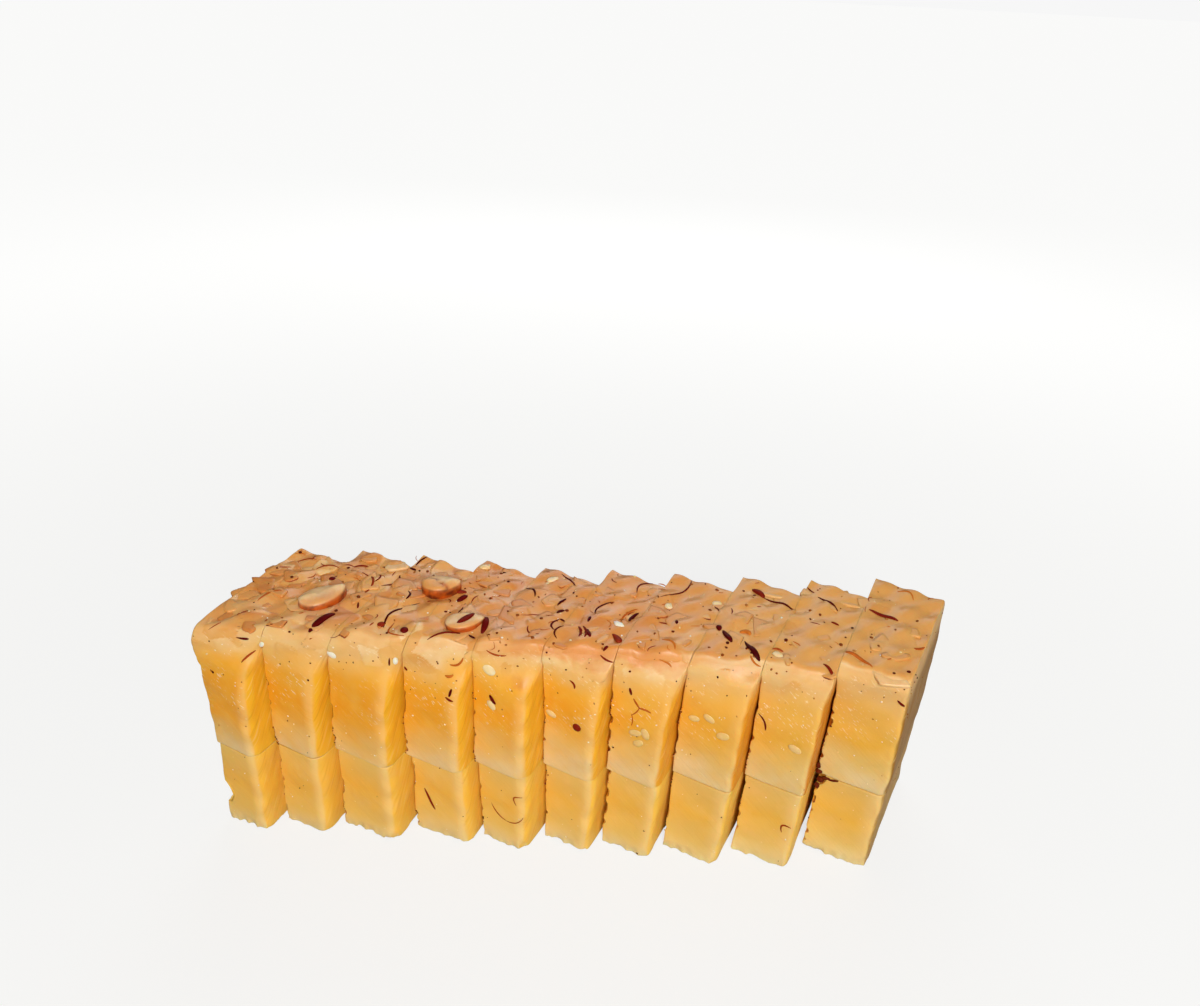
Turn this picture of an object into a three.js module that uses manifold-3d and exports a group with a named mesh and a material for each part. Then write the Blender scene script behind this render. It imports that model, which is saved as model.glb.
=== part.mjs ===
// Coconut halwa: two slabs of the milk sweet laid one on the other and cut together into ten slices.
// The slices have slid past each other like leaning books, so that the row is saw-toothed at the front
// and at the back. The upper slab carries a topping of almond flakes, halves and slivers.
// Millimetres. X runs along the row to the right, Y away from the front and Z up.
import * as THREE from "three";
import { mergeVertices } from "three/addons/utils/BufferGeometryUtils.js";
import Module from "manifold-3d";

const wasm = await Module();
wasm.setup();

// ---- Driving dimensions ----------------------------------------------------------------------------

const DEPTH = 61.5; // length of a slice, front to back
const LOWER_HEIGHT = 44.6;
const UPPER_HEIGHT = 66.4;
const SEAM = 0.3; // air left between the slabs
const CUT_WIDTH = 0.9; // air left by the knife between two upper slices
const LOWER_INSET = 0.5; // how much narrower a lower slice is on each side
const LEAN_POWER = 2.5; // the cuts lean most near the top
const SWING_POWER = 1.6; // and so do the front corners swing, above
const SWING_START = 0.45; // this share of the upper slab's height
const EDGE = 2.2; // width of the rounding along the edges
const EDGE_PULL = 0.6; // how far the rounding draws an edge in
// Unevenness: how far each surface wanders, and the length of its waves.
const KNIFE = { wave: 0.45, length: 38 }; // the cuts
const FACE = { wave: 0.7, length: 31 }; // the fronts and backs
const TOP = { wave: 1.1, length: 23 }; // the topping
const TORN = { wave: 1.3, length: 11 }; // the ragged bottom edges
const FRONT_SAG = 1.2; // how much lower the top is along its front edge

// The slices from left to right. pitch is the distance along the row between the front right edges of
// neighbours, setback that edge's distance behind the front of the row, and turn the angle of the cut
// on the slice's right in degrees. That cut leans over to the right by lean at the top and by foot at
// the bottom. At the top the left front corner stands forward by advance and the right one back by
// retreat. The lower slice stands back by inset.
const SLICES = [
  { pitch: 25.0, setback: 3.7, turn: 23.0, lean: 6.5, foot: 0.3, advance: 4.5, retreat: 5, inset: 0.4 },
  { pitch: 27.2, setback: 4.8, turn: 23.5, lean: 7.5, foot: 0.3, advance: 5, retreat: 4, inset: 0.2 },
  { pitch: 31.0, setback: 1.7, turn: 23.0, lean: 5.2, foot: 1.0, advance: 4.5, retreat: 8, inset: 1.0 },
  { pitch: 30.8, setback: 1.3, turn: 23.5, lean: 1.5, foot: 2.5, advance: 3, retreat: 9, inset: 2.6 },
  { pitch: 27.8, setback: 0.1, turn: 26.0, lean: -0.3, foot: 0.7, advance: 0, retreat: 9, inset: 1.8 },
  { pitch: 29.0, setback: 1.0, turn: 25.0, lean: 0.8, foot: -0.7, advance: 1.5, retreat: 9, inset: 2.0 },
  { pitch: 27.7, setback: 0.0, turn: 25.0, lean: 3.0, foot: -0.7, advance: 0, retreat: 9, inset: 2.0 },
  { pitch: 31.3, setback: 0.2, turn: 26.0, lean: 1.0, foot: -1.0, advance: 2.5, retreat: 7, inset: 0.3 },
  { pitch: 31.0, setback: 0.6, turn: 25.0, lean: 0.0, foot: 0.0, advance: 4.5, retreat: 3.5, inset: 0.2 },
  { pitch: 35.2, setback: 3.7, turn: 28.0, lean: -3.7, foot: 1.0, advance: 8, retreat: -1.5, inset: 0.1 },
];
const LEFT_END = { turn: 24.0, lean: 2.5, foot: -0.7 }; // the outer face of the first slice
const FOOT_LEFT = 3.6; // how far the bottom left front corner stands forward
const FOOT_RIGHT = 2; // and the bottom right one
const FOOT_GAP = 1.2; // how much wider a cut is at the bottom

// Larger nuts, each at its place on a slice: across from the left cut and back from the front edge, as
// fractions. Lengths are along the turned axis, and tip raises one side, in degrees.
const NUTS = [
  { slice: 2, across: 0.24, back: 0.41, kind: "half", length: 20.5, width: 13, height: 7, turn: 36, tip: 14 },
  { slice: 3, across: 0.64, back: 0.67, kind: "half", length: 17, width: 12, height: 7, turn: 5, tip: -12 },
  { slice: 4, across: 0.62, back: 0.21, kind: "half", length: 18, width: 10, height: 5, turn: 15, tip: 8 },
  { slice: 4, across: 0.5, back: 0.03, kind: "flake", length: 24, width: 13, height: 1.8, turn: -8, tip: 30 },
  { slice: 2, across: 0.44, back: 0.2, kind: "sliver", length: 9.5, width: 3, height: 3, turn: 42 },
  { slice: 3, across: 0.8, back: 0.16, kind: "sliver", length: 5, width: 4, height: 3, turn: 0 },
  { slice: 3, across: 0.7, back: 0.32, kind: "sliver", length: 14, width: 2.2, height: 2.4, turn: 50 },
  { slice: 6, across: 0.74, back: 0.32, kind: "sliver", length: 6, width: 4, height: 4, turn: 10 },
  { slice: 8, across: 0.85, back: 0.12, kind: "sliver", length: 13, width: 3, height: 2.4, turn: -55 },
  { slice: 8, across: 0.52, back: 0.3, kind: "sliver", length: 6, width: 3, height: 2.4, turn: -55 },
  { slice: 9, across: 0.9, back: 0.06, kind: "flake", length: 8, width: 6, height: 1.4, turn: -50, tip: 18 },
  { slice: 10, across: 0.32, back: 0.17, kind: "sliver", length: 17, width: 3, height: 2.2, turn: -16 },
  { slice: 10, across: 0.66, back: 0.03, kind: "flake", length: 17, width: 6, height: 2, turn: -14, tip: 20 },
  { slice: 10, across: 0.36, back: 0.52, kind: "sliver", length: 12, width: 2.4, height: 2, turn: -14 },
];

// Smaller flakes are scattered over the top of each upper slice, more of them towards the left end.
const FLAKES_LEFT = 15;
const FLAKES_RIGHT = 9;
const FLAKE_LENGTH = [7, 14]; // shortest and longest
const FLAKE_SLIMNESS = [0.5, 0.8]; // width over length
const FLAKE_THICKNESS = 1.3;
const FLAKE_TILT = 12; // degrees
const SCATTER_MARGIN = 0.07; // share of the top left bare at its edges
const GOLDEN = 0.618; // spreads them evenly from side to side
const SCATTER_SEED = 2026;
const NUT_LIFT = 0.12; // how far a nut's middle lies above the surface, as a share of its height

// Toppings are cut off flush with the knife cuts. Before the front edge and behind the back edge they
// may stand over by this share of the slice's depth.
const ROOM_DEPTH = [-0.12, 1.05];
const ROOM_ABOVE = 15;
const ROOM_BELOW = 25;

// Pale seeds pressed into the fronts of the upper slices: across from the left edge and up from the
// seam, as fractions, and their length.
const SEED_THICKNESS = 1.6;
const SEED_SLIMNESS = 0.7; // width over length
const SEEDS = [
  { slice: 2, across: 0.94, up: 0.9, length: 4.5 },
  { slice: 3, across: 0.93, up: 0.8, length: 3 },
  { slice: 5, across: 0.16, up: 0.78, length: 6 },
  { slice: 6, across: 0.16, up: 0.42, length: 5.5 },
  { slice: 7, across: 0.48, up: 0.38, length: 5 },
  { slice: 7, across: 0.66, up: 0.4, length: 5 },
  { slice: 8, across: 0.2, up: 0.52, length: 4.5 },
  { slice: 8, across: 0.44, up: 0.54, length: 5 },
  { slice: 8, across: 0.7, up: 0.42, length: 5.5 },
  { slice: 9, across: 0.66, up: 0.34, length: 5.5 },
];

// Bites out of the edges: at the left edge of the first lower slice and at the seam of the last one.
const CHIPS = [
  { slice: 1, across: -0.06, up: 0.38, size: [10, 14, 12] },
  { slice: 10, across: -0.03, up: 0.97, size: [9, 9, 13] },
];

const FACES = {
  upper: { along: 4, back: 6, up: 5, color: 0xeeb45c },
  lower: { along: 4, back: 5, up: 4, color: 0xeeb050 },
};

// ---- Small helpers ---------------------------------------------------------------------------------

const radians = THREE.MathUtils.degToRad;
const lerp = THREE.MathUtils.lerp;

// Repeatable random numbers from 0 to 1.
function randomFrom(seed) {
  let state = seed >>> 0;
  return () => {
    state = (Math.imul(state, 1664525) + 1013904223) >>> 0;
    return state / 4294967296;
  };
}

// Smooth unevenness from about -1 to 1, with waves of about the given length.
function unevenness(p, q, wavelength, seed) {
  const k = (2 * Math.PI) / wavelength;
  const broad = Math.sin(k * (p + 0.4 * q) + 1.7 * seed) * Math.cos(k * (q - 0.3 * p) + 2.9 * seed);
  const fine = Math.sin(k * (2.1 * q - 1.3 * p) + 4.1 * seed);
  return 0.7 * broad + 0.3 * fine;
}

// A coordinate of an evenly divided grid, from 0 to 1, moved so that its outermost strips are narrow.
function gridPlace(even, divisions, edge) {
  const step = Math.round(even * divisions);
  if (step === 0 || step === divisions) return step / divisions;
  return edge + ((step - 1) / (divisions - 2)) * (1 - 2 * edge);
}

const isEnd = (fraction) => fraction < 1e-6 || fraction > 1 - 1e-6;
const inward = (fraction) => (fraction < 0.5 ? 1 : -1);

// ---- The cuts and the slices -----------------------------------------------------------------------

// Cut 0 is the left end of the row and cut n lies on the right of slice n. Each starts at the front
// right edge of the slice on its left.
const cuts = [{ x: 0, y: SLICES[0].setback, ...LEFT_END }];
for (const { pitch, setback, turn, lean, foot } of SLICES)
  cuts.push({ x: cuts.at(-1).x + pitch, y: setback, turn, lean, foot });

// The share of the upper slab's height that lies below a point, and of the lower slab's above it.
const riseAt = (z) => Math.max(0, (z - LOWER_HEIGHT - SEAM) / UPPER_HEIGHT);
const fallAt = (z) => Math.max(0, 1 - z / LOWER_HEIGHT);

// A point of a cut at height z, at a distance back from its start.
function onCut(index, back, z) {
  const { x, y, turn, lean, foot } = cuts[index];
  const angle = radians(turn);
  const shift = lean * riseAt(z) ** LEAN_POWER + foot * fallAt(z);
  const wander = KNIFE.wave * unevenness(back, z, KNIFE.length, index + 1);
  return [x + back * Math.sin(angle) + shift + wander, y + back * Math.cos(angle)];
}

// How far back along the cut on its left the front left corner of a slice lies.
function stepBack(number) {
  const right = cuts[number];
  const left = cuts[number - 1];
  const angle = radians(left.turn);
  return (right.x - left.x) * Math.sin(angle) + (right.y - left.y) * Math.cos(angle);
}

// A point in a slice: across from left to right, back from the front and up, each from 0 to 1.
function inSlice(number, layer, across, back, up) {
  const { advance, retreat, inset } = SLICES[number - 1];
  const upper = layer === "upper";
  const z = upper ? LOWER_HEIGHT + SEAM + up * UPPER_HEIGHT : up * LOWER_HEIGHT;
  const front = upper ? 0 : inset;
  const gap = CUT_WIDTH / 2 + (upper ? 0 : LOWER_INSET);
  const leftGap = gap + FOOT_GAP * fallAt(z);
  const swing = Math.max(0, (riseAt(z) - SWING_START) / (1 - SWING_START)) ** SWING_POWER;
  const leftFront = stepBack(number) + front - advance * swing - FOOT_LEFT * fallAt(z);
  const rightFront = front + retreat * swing - FOOT_RIGHT * fallAt(z);
  const [leftX, leftY] = onCut(number - 1, lerp(leftFront, stepBack(number) + DEPTH, back), z);
  const [rightX, rightY] = onCut(number, lerp(rightFront, DEPTH, back), z);
  const width = Math.hypot(rightX - leftX, rightY - leftY);
  const share = lerp(leftGap / width, 1 - gap / width, across);
  return new THREE.Vector3(lerp(leftX, rightX, share), lerp(leftY, rightY, share), z);
}

// The front and back faces wave a little, the top is uneven and sags at its front edge, and the bottom
// edges are ragged.
function weather(point, number, layer, across, back, up) {
  if (isEnd(back)) point.y += FACE.wave * unevenness(point.x, point.z, FACE.length, number + 7 * back);
  if (layer === "upper" && up === 1)
    point.z += TOP.wave * unevenness(point.x, point.y, TOP.length, 3) - FRONT_SAG * (1 - back) ** 8;
  if (layer === "lower" && up === 0 && isEnd(back))
    point.y += inward(back) * TORN.wave * Math.abs(unevenness(point.x, 0, TORN.length, number));
  return point;
}

function sliceGeometry(number, layer) {
  const { along, back, up } = FACES[layer];
  const width = SLICES[number - 1].pitch;
  const height = layer === "upper" ? UPPER_HEIGHT : LOWER_HEIGHT;
  const box = new THREE.BoxGeometry(1, 1, 1, along, back, up);
  const places = box.getAttribute("position");
  for (let i = 0; i < places.count; i++) {
    const u = gridPlace(places.getX(i) + 0.5, along, EDGE / width);
    const v = gridPlace(places.getY(i) + 0.5, back, EDGE / DEPTH);
    const t = gridPlace(places.getZ(i) + 0.5, up, EDGE / height);
    // Where two faces meet, the edge is drawn in along both, but the bottom stays level.
    const pull = [isEnd(v) || isEnd(t), isEnd(u) || isEnd(t), t > 0.5 && (isEnd(u) || isEnd(v))];
    const point = inSlice(
      number,
      layer,
      u + (isEnd(u) ? (inward(u) * pull[0] * EDGE_PULL) / width : 0),
      v + (isEnd(v) ? (inward(v) * pull[1] * EDGE_PULL) / DEPTH : 0),
      t - (isEnd(t) ? (pull[2] * EDGE_PULL) / height : 0),
    );
    weather(point, number, layer, u, v, t);
    places.setXYZ(i, point.x, point.y, point.z);
  }
  return box;
}

// ---- Solids ----------------------------------------------------------------------------------------

function toSolid(geometry) {
  const bare = geometry.clone();
  bare.deleteAttribute("normal");
  bare.deleteAttribute("uv");
  const merged = mergeVertices(bare, 1e-3);
  return new wasm.Manifold(
    new wasm.Mesh({
      numProp: 3,
      vertProperties: new Float32Array(merged.attributes.position.array),
      triVerts: new Uint32Array(merged.index.array),
    }),
  );
}

// The largest body of a solid, without loose scraps and with any sealed hollow filled.
function largestBody(solid) {
  return solid.decompose().reduce((a, b) => (b.volume() > a.volume() ? b : a));
}

function toGeometry(solid) {
  const { vertProperties, triVerts } = solid.getMesh();
  const geometry = new THREE.BufferGeometry();
  geometry.setAttribute("position", new THREE.BufferAttribute(vertProperties, 3));
  geometry.setIndex(new THREE.BufferAttribute(triVerts, 1));
  const faceted = geometry.toNonIndexed();
  faceted.computeVertexNormals();
  return faceted;
}

// The room that toppings may fill above a slice: its outline, kept clear of both cuts.
function roomAbove(number) {
  const box = new THREE.BoxGeometry(1, 1, 1, 1, 1, 1);
  const places = box.getAttribute("position");
  for (let i = 0; i < places.count; i++) {
    const back = lerp(...ROOM_DEPTH, places.getY(i) + 0.5);
    const corner = inSlice(number, "upper", places.getX(i) + 0.5, back, 1);
    places.setXYZ(i, corner.x, corner.y, corner.z + (places.getZ(i) > 0 ? ROOM_ABOVE : -ROOM_BELOW));
  }
  return toSolid(box);
}

// ---- Toppings --------------------------------------------------------------------------------------

const NUT_SHAPES = {
  half: () => new THREE.SphereGeometry(0.5, 9, 5).rotateX(Math.PI / 2),
  flake: () => new THREE.CylinderGeometry(0.44, 0.5, 1, 8).rotateX(Math.PI / 2),
  chip: () => new THREE.CylinderGeometry(0.46, 0.5, 1, 5).rotateX(Math.PI / 2),
  sliver: () => new THREE.CylinderGeometry(0.35, 0.5, 1, 5).rotateX(Math.PI / 2),
};

// A nut on the top of its slice, sunk to about half its height.
function nutSolid({ slice, across, back, kind, length, width, height, turn, tip = 0 }) {
  const point = weather(inSlice(slice, "upper", across, back, 1), slice, "upper", across, back, 1);
  const shape = NUT_SHAPES[kind]()
    .scale(length, width, height)
    .rotateX(radians(tip))
    .rotateZ(radians(turn))
    .translate(point.x, point.y, point.z + NUT_LIFT * height);
  return toSolid(shape);
}

function scatteredNuts(number) {
  const random = randomFrom(SCATTER_SEED + number);
  const count = Math.round(lerp(FLAKES_LEFT, FLAKES_RIGHT, (number - 1) / (SLICES.length - 1)));
  const nuts = [];
  for (let i = 0; i < count; i++) {
    const length = lerp(...FLAKE_LENGTH, random());
    nuts.push({
      slice: number,
      across: lerp(SCATTER_MARGIN, 1 - SCATTER_MARGIN, (i * GOLDEN + random() * 0.3) % 1),
      back: lerp(SCATTER_MARGIN, 1 - SCATTER_MARGIN, (i + random()) / count),
      kind: random() < 0.5 ? "flake" : "chip",
      length,
      width: length * lerp(...FLAKE_SLIMNESS, random()),
      height: FLAKE_THICKNESS,
      turn: 360 * random(),
      tip: FLAKE_TILT * (2 * random() - 1),
    });
  }
  return nuts;
}

function seedSolid({ slice, across, up, length }) {
  const point = inSlice(slice, "upper", across, 0, up);
  const shape = new THREE.SphereGeometry(0.5, 6, 4)
    .scale(length, SEED_THICKNESS, length * SEED_SLIMNESS)
    .rotateZ(-radians(cuts[slice].turn))
    .translate(point.x, point.y, point.z);
  return toSolid(shape);
}

function chipSolid({ slice, across, up, size }) {
  const point = inSlice(slice, "lower", across, 0, up);
  const shape = new THREE.SphereGeometry(0.5, 8, 6).scale(...size).translate(point.x, point.y, point.z);
  return toSolid(shape);
}

// ---- The row ---------------------------------------------------------------------------------------

function upperSlice(number) {
  const room = roomAbove(number);
  const nuts = [...NUTS.filter((nut) => nut.slice === number), ...scatteredNuts(number)];
  let solid = toSolid(sliceGeometry(number, "upper"));
  for (const nut of nuts) solid = solid.add(nutSolid(nut).intersect(room));
  for (const seed of SEEDS.filter((one) => one.slice === number)) solid = solid.add(seedSolid(seed));
  return largestBody(solid);
}

function lowerSlice(number) {
  let solid = toSolid(sliceGeometry(number, "lower"));
  for (const chip of CHIPS.filter((one) => one.slice === number)) solid = solid.subtract(chipSolid(chip));
  return solid;
}

function sliceMesh(number, layer) {
  const solid = layer === "upper" ? upperSlice(number) : lowerSlice(number);
  const { color } = FACES[layer];
  const material = new THREE.MeshStandardMaterial({ color, roughness: 0.5, metalness: 0 });
  const mesh = new THREE.Mesh(toGeometry(solid), material);
  mesh.name = `${layer}_slice_${String(number).padStart(2, "0")}`;
  return mesh;
}

const halwa = new THREE.Group();
for (const layer of ["lower", "upper"])
  for (let number = 1; number <= SLICES.length; number++) halwa.add(sliceMesh(number, layer));

// The origin is under the middle of the row.
const middle = new THREE.Box3().setFromObject(halwa).getCenter(new THREE.Vector3());
halwa.position.set(-middle.x, -middle.y, 0);

export default halwa;
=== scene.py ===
import itertools
import math
from collections import namedtuple

import bpy
import numpy as np
from mathutils import Matrix, Vector


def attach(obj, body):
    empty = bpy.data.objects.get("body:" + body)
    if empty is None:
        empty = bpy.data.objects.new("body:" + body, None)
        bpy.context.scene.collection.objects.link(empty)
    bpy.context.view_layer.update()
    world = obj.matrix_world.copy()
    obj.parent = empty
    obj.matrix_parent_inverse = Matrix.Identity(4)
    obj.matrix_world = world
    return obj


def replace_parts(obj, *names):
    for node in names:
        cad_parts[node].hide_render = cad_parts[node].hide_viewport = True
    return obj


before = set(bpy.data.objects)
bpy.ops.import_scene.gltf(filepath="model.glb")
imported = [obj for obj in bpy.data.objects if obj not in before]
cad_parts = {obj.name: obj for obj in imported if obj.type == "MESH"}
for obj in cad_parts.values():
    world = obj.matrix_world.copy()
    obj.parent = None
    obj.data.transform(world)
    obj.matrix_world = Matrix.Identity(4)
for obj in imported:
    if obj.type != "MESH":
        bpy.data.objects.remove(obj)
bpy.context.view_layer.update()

# ---- Driving dimensions of the row ----

DEPTH = 61.5  # length of a slice, front to back
LOWER_HEIGHT = 44.6
UPPER_HEIGHT = 66.4
SEAM = 0.3
CUT_WIDTH = 0.9
CLOSED = 0.08  # share of that width near the top, where the topping sticks together
LOWER_INSET = 0.5
LEAN_POWER = 2.5
SWING_POWER = 1.6
SWING_START = 0.45
# Between these rises the front right corners go back to meet the next slice, at the left and at the right.
FLUSH_LEFT = (0.7, 0.96)
FLUSH_RIGHT = (0.85, 1.0)
LAST_LEFT = 5  # the last slice that does it as at the left
LAST_FLUSH = 8  # and the last one that does it at all
FRONT_SAG = 1.2
FOOT_LEFT = 3.6  # the left front corners come forward by this at the floor
FOOT_RIGHT = 2.0  # and the right ones by this
FOOT_GAP = 1.2  # the cuts are wider by this at the floor
MIDDLE = np.array([164.67, 35.68, 0.0])  # of the row, from the front of its left end

Wave = namedtuple("Wave", "height length")
KNIFE = Wave(0.3, 38)  # of the cuts
FACE = Wave(0.4, 31)  # of the fronts and the backs
TOP = Wave(1.1, 23)
TORN = Wave(1.3, 11)  # of the bottom edges at the front and at the back

# Of the cut at a slice's right: pitch is how far along the row it is from the cut before, setback how far
# back it starts, turn its angle in degrees, and lean and foot how far to the right it is at the top and at
# the floor. Of the slice: advance is how far its left front corner comes forward near the top, retreat how
# far the right one goes back, and inset how far back the lower slice's front stands.
Slice = namedtuple("Slice", "pitch setback turn lean foot advance retreat inset")
SLICES = [
    Slice(25.0, 3.7, 23.0, 6.5, 0.3, 4.5, 5.0, 0.4),
    Slice(27.2, 4.8, 23.5, 7.5, 0.3, 5.0, 4.0, 0.2),
    Slice(31.0, 1.7, 23.0, 5.2, 1.0, 4.5, 8.0, 1.0),
    Slice(30.8, 1.3, 23.5, 1.5, 2.5, 3.0, 9.0, 2.6),
    Slice(27.8, 0.1, 26.0, -0.3, 0.7, 0.0, 9.0, 1.8),
    Slice(29.0, 1.0, 25.0, 0.8, -0.7, 1.5, 9.0, 2.0),
    Slice(27.7, 0.0, 25.0, 3.0, -0.7, 0.0, 9.0, 2.0),
    Slice(31.3, 0.2, 26.0, 1.0, -1.0, 2.5, 7.0, 0.3),
    Slice(31.0, 0.6, 25.0, 0.0, 0.0, 4.5, 3.5, 0.2),
    Slice(35.2, 3.7, 28.0, -3.7, 1.0, 8.0, -1.5, 0.1),
]
COUNT = len(SLICES)
NUMBERS = range(1, COUNT + 1)

Cut = namedtuple("Cut", "x y turn lean foot")
CUTS = [Cut(0.0, SLICES[0].setback, 24.0, 2.5, -0.7)]
for one in SLICES:
    CUTS.append(Cut(CUTS[-1].x + one.pitch, one.setback, one.turn, one.lean, one.foot))

# ---- Small helpers ----


def lerp(a, b, share):
    return a + (b - a) * share


def along_row(number, first, last):
    """A value for a slice, between the first one's and the last one's."""
    return lerp(first, last, (number - 1) / (COUNT - 1))


def smooth(low, high, value):
    """0 below low, 1 above high, and smoothly between."""
    share = np.clip((value - low) / (high - low), 0, 1)
    return share * share * (3 - 2 * share)


def near(distance, reach):
    """1 at a distance of 0, falling to 0 at the reach."""
    return 1 - smooth(0, reach, distance)


def unevenness(p, q, wavelength, seed):
    """Smooth unevenness from about -1 to 1, with waves of about the given length."""
    k = 2 * np.pi / wavelength
    broad = np.sin(k * (p + 0.4 * q) + 1.7 * seed) * np.cos(k * (q - 0.3 * p) + 2.9 * seed)
    fine = np.sin(k * (2.1 * q - 1.3 * p) + 4.1 * seed)
    return 0.7 * broad + 0.3 * fine


def noise(points, size, seed=0):
    """Smooth random values from -1 to 1 at points, changing over about size."""
    cell = points / size + 31.7 * seed
    base = np.floor(cell).astype(np.int64)
    share = cell - base
    share = share * share * (3 - 2 * share)
    total = np.zeros(cell.shape[:-1])
    for corner in itertools.product((0, 1), repeat=3):
        x, y, z = np.moveaxis(base + corner, -1, 0)
        code = (x * 374761393 + y * 668265263 + z * 1103515245 + 12345) & 0xFFFFFFFF
        code = ((code ^ (code >> 13)) * 1274126177) & 0xFFFFFFFF
        value = ((code ^ (code >> 16)) & 0xFFFF) / 32767.5 - 1
        total += value * np.prod(np.where(corner, share, 1 - share), axis=-1)
    return total


def random_from(seed):
    """Repeatable random numbers from 0 to 1, as the solids draw them."""
    state = seed
    while True:
        state = (state * 1664525 + 1013904223) % 2**32
        yield state / 2**32


def unit(vectors):
    return vectors / np.maximum(np.linalg.norm(vectors, axis=-1, keepdims=True), 1e-9)


# ---- The cuts and the slices ----


def rise_at(z):
    return np.maximum(0, (z - LOWER_HEIGHT - SEAM) / UPPER_HEIGHT)


def fall_at(z):
    return np.maximum(0, 1 - z / LOWER_HEIGHT)


def on_cut(index, back, z):
    cut = CUTS[index]
    angle = math.radians(cut.turn)
    shift = cut.lean * rise_at(z) ** LEAN_POWER + cut.foot * fall_at(z)
    wander = KNIFE.height * unevenness(back, z, KNIFE.length, index + 1)
    return cut.x + back * math.sin(angle) + shift + wander, cut.y + back * math.cos(angle)


def step_back(number):
    right, left = CUTS[number], CUTS[number - 1]
    angle = math.radians(left.turn)
    return (right.x - left.x) * math.sin(angle) + (right.y - left.y) * math.cos(angle)


def in_slice(number, layer, across, back, up):
    """Points in a slice: across from left to right, back from the front and up, each from 0 to 1."""
    own = SLICES[number - 1]
    upper = layer == "upper"
    z = LOWER_HEIGHT + SEAM + up * UPPER_HEIGHT if upper else up * LOWER_HEIGHT
    front = 0 if upper else own.inset
    gap = CUT_WIDTH / 2 * lerp(1, CLOSED, smooth(0.55, 0.9, rise_at(z))) + (0 if upper else LOWER_INSET)
    left_gap = gap + FOOT_GAP * fall_at(z)
    swing = np.maximum(0, (rise_at(z) - SWING_START) / (1 - SWING_START)) ** SWING_POWER
    left_front = step_back(number) + front - own.advance * swing - FOOT_LEFT * fall_at(z)
    right_front = front + own.retreat * swing - FOOT_RIGHT * fall_at(z)
    if upper and number <= LAST_FLUSH:
        meeting = step_back(number + 1) - SLICES[number].advance * swing
        flush = FLUSH_LEFT if number <= LAST_LEFT else FLUSH_RIGHT
        right_front = lerp(right_front, meeting, smooth(*flush, rise_at(z)))
    left_x, left_y = on_cut(number - 1, lerp(left_front, step_back(number) + DEPTH, back), z)
    right_x, right_y = on_cut(number, lerp(right_front, DEPTH, back), z)
    width = np.hypot(right_x - left_x, right_y - left_y)
    share = lerp(left_gap / width, 1 - gap / width, across)
    x, y = lerp(left_x, right_x, share), lerp(left_y, right_y, share)
    return np.stack(np.broadcast_arrays(x, y, z), axis=-1)


def slice_size(number, layer):
    """Thickness, depth and height of a slice."""
    own = SLICES[number - 1]
    height = UPPER_HEIGHT if layer == "upper" else LOWER_HEIGHT
    return np.array([own.pitch * math.cos(math.radians(own.turn)) - CUT_WIDTH, DEPTH, height])


# ---- The topping's own relief ----

# Almond flakes lie flat and overlapping just under the glaze, so that the top is a mosaic of plates.
PLATES_SCATTERED = (38, 20)  # on the first slice and on the last one
PLATE_LENGTH = (14.0, 31.0)
PLATE_SLIMNESS = (0.5, 0.85)
PLATE_TILT = 0.06
PLATE_LIFT = (-0.4, 0.5)
PLATE_REACH = (-0.45, 1.02)  # the plates run on over the front edge, this far before the depth's start
GLAZE_LEVEL = (0.0, 0.3)  # on the first slice and on the last one: it covers the lowest plates
PALEST = 0.85  # tone of a scattered plate
PLATE_FALL = 0.25  # from its middle to its rim
BELOW_ALL = -2.0
CORNER_SHARPNESS = 14
HANG = 26.0  # how far down the fronts the plates show
GOLDEN = 0.618
PLATE_SEED = 5

Plate = namedtuple("Plate", "x y turn length width tilt lift skin rim tone shape")

# The largest plates that show. One before the depth's start hangs over the front edge.
Shard = namedtuple("Shard", "slice across back turn length width skin tone")
SHARDS = [
    Shard(4, 0.52, -0.07, -8, 29, 23, 100, 0.75),
    Shard(1, 0.75, 0.88, 10, 15, 13, 250, 0.9),
    Shard(1, 0.62, 0.68, 45, 20, 10, 300, 0.7),
    Shard(2, 0.78, 0.66, 25, 21, 18, 180, 0.75),
    Shard(3, 0.35, 0.34, 20, 18, 15, 60, 0.7),
    Shard(3, 0.5, 0.06, 0, 24, 17, 90, 0.6),
    Shard(5, 0.35, 0.07, 30, 20, 16, 120, 0.6),
    Shard(5, 0.3, 0.6, 15, 22, 18, 30, 0.65),
    Shard(6, 0.5, 0.5, 40, 20, 15, 150, 0.6),
    Shard(7, 0.5, 0.1, 10, 24, 12, 80, 0.45),
    Shard(8, 0.4, 0.55, 30, 26, 20, 260, 0.6),
    Shard(10, 0.5, 0.35, 20, 26, 20, 60, 0.6),
]
SHARD_LIFT = 0.65


def shard(random):
    """An angular shape of about unit radius: the ways out of its sides, over their distances."""
    corners = random.integers(4, 7)
    angle = 2 * np.pi * (np.arange(corners) + random.uniform(-0.3, 0.3, corners)) / corners
    return np.stack([np.cos(angle), np.sin(angle)]) / random.uniform(0.62, 1.0, corners)


def shard_reach(shape, p, q):
    """0 in the middle of a shard and 1 on its edge. Its corners are a little round."""
    out = np.maximum(0, np.multiply.outer(p, shape[0]) + np.multiply.outer(q, shape[1]))
    return (out**CORNER_SHARPNESS).sum(axis=-1) ** (1 / CORNER_SHARPNESS)


def on_top(number, across, back):
    return in_slice(number, "upper", np.array(across), np.array(back), np.array(1.0))[:2]


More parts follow.
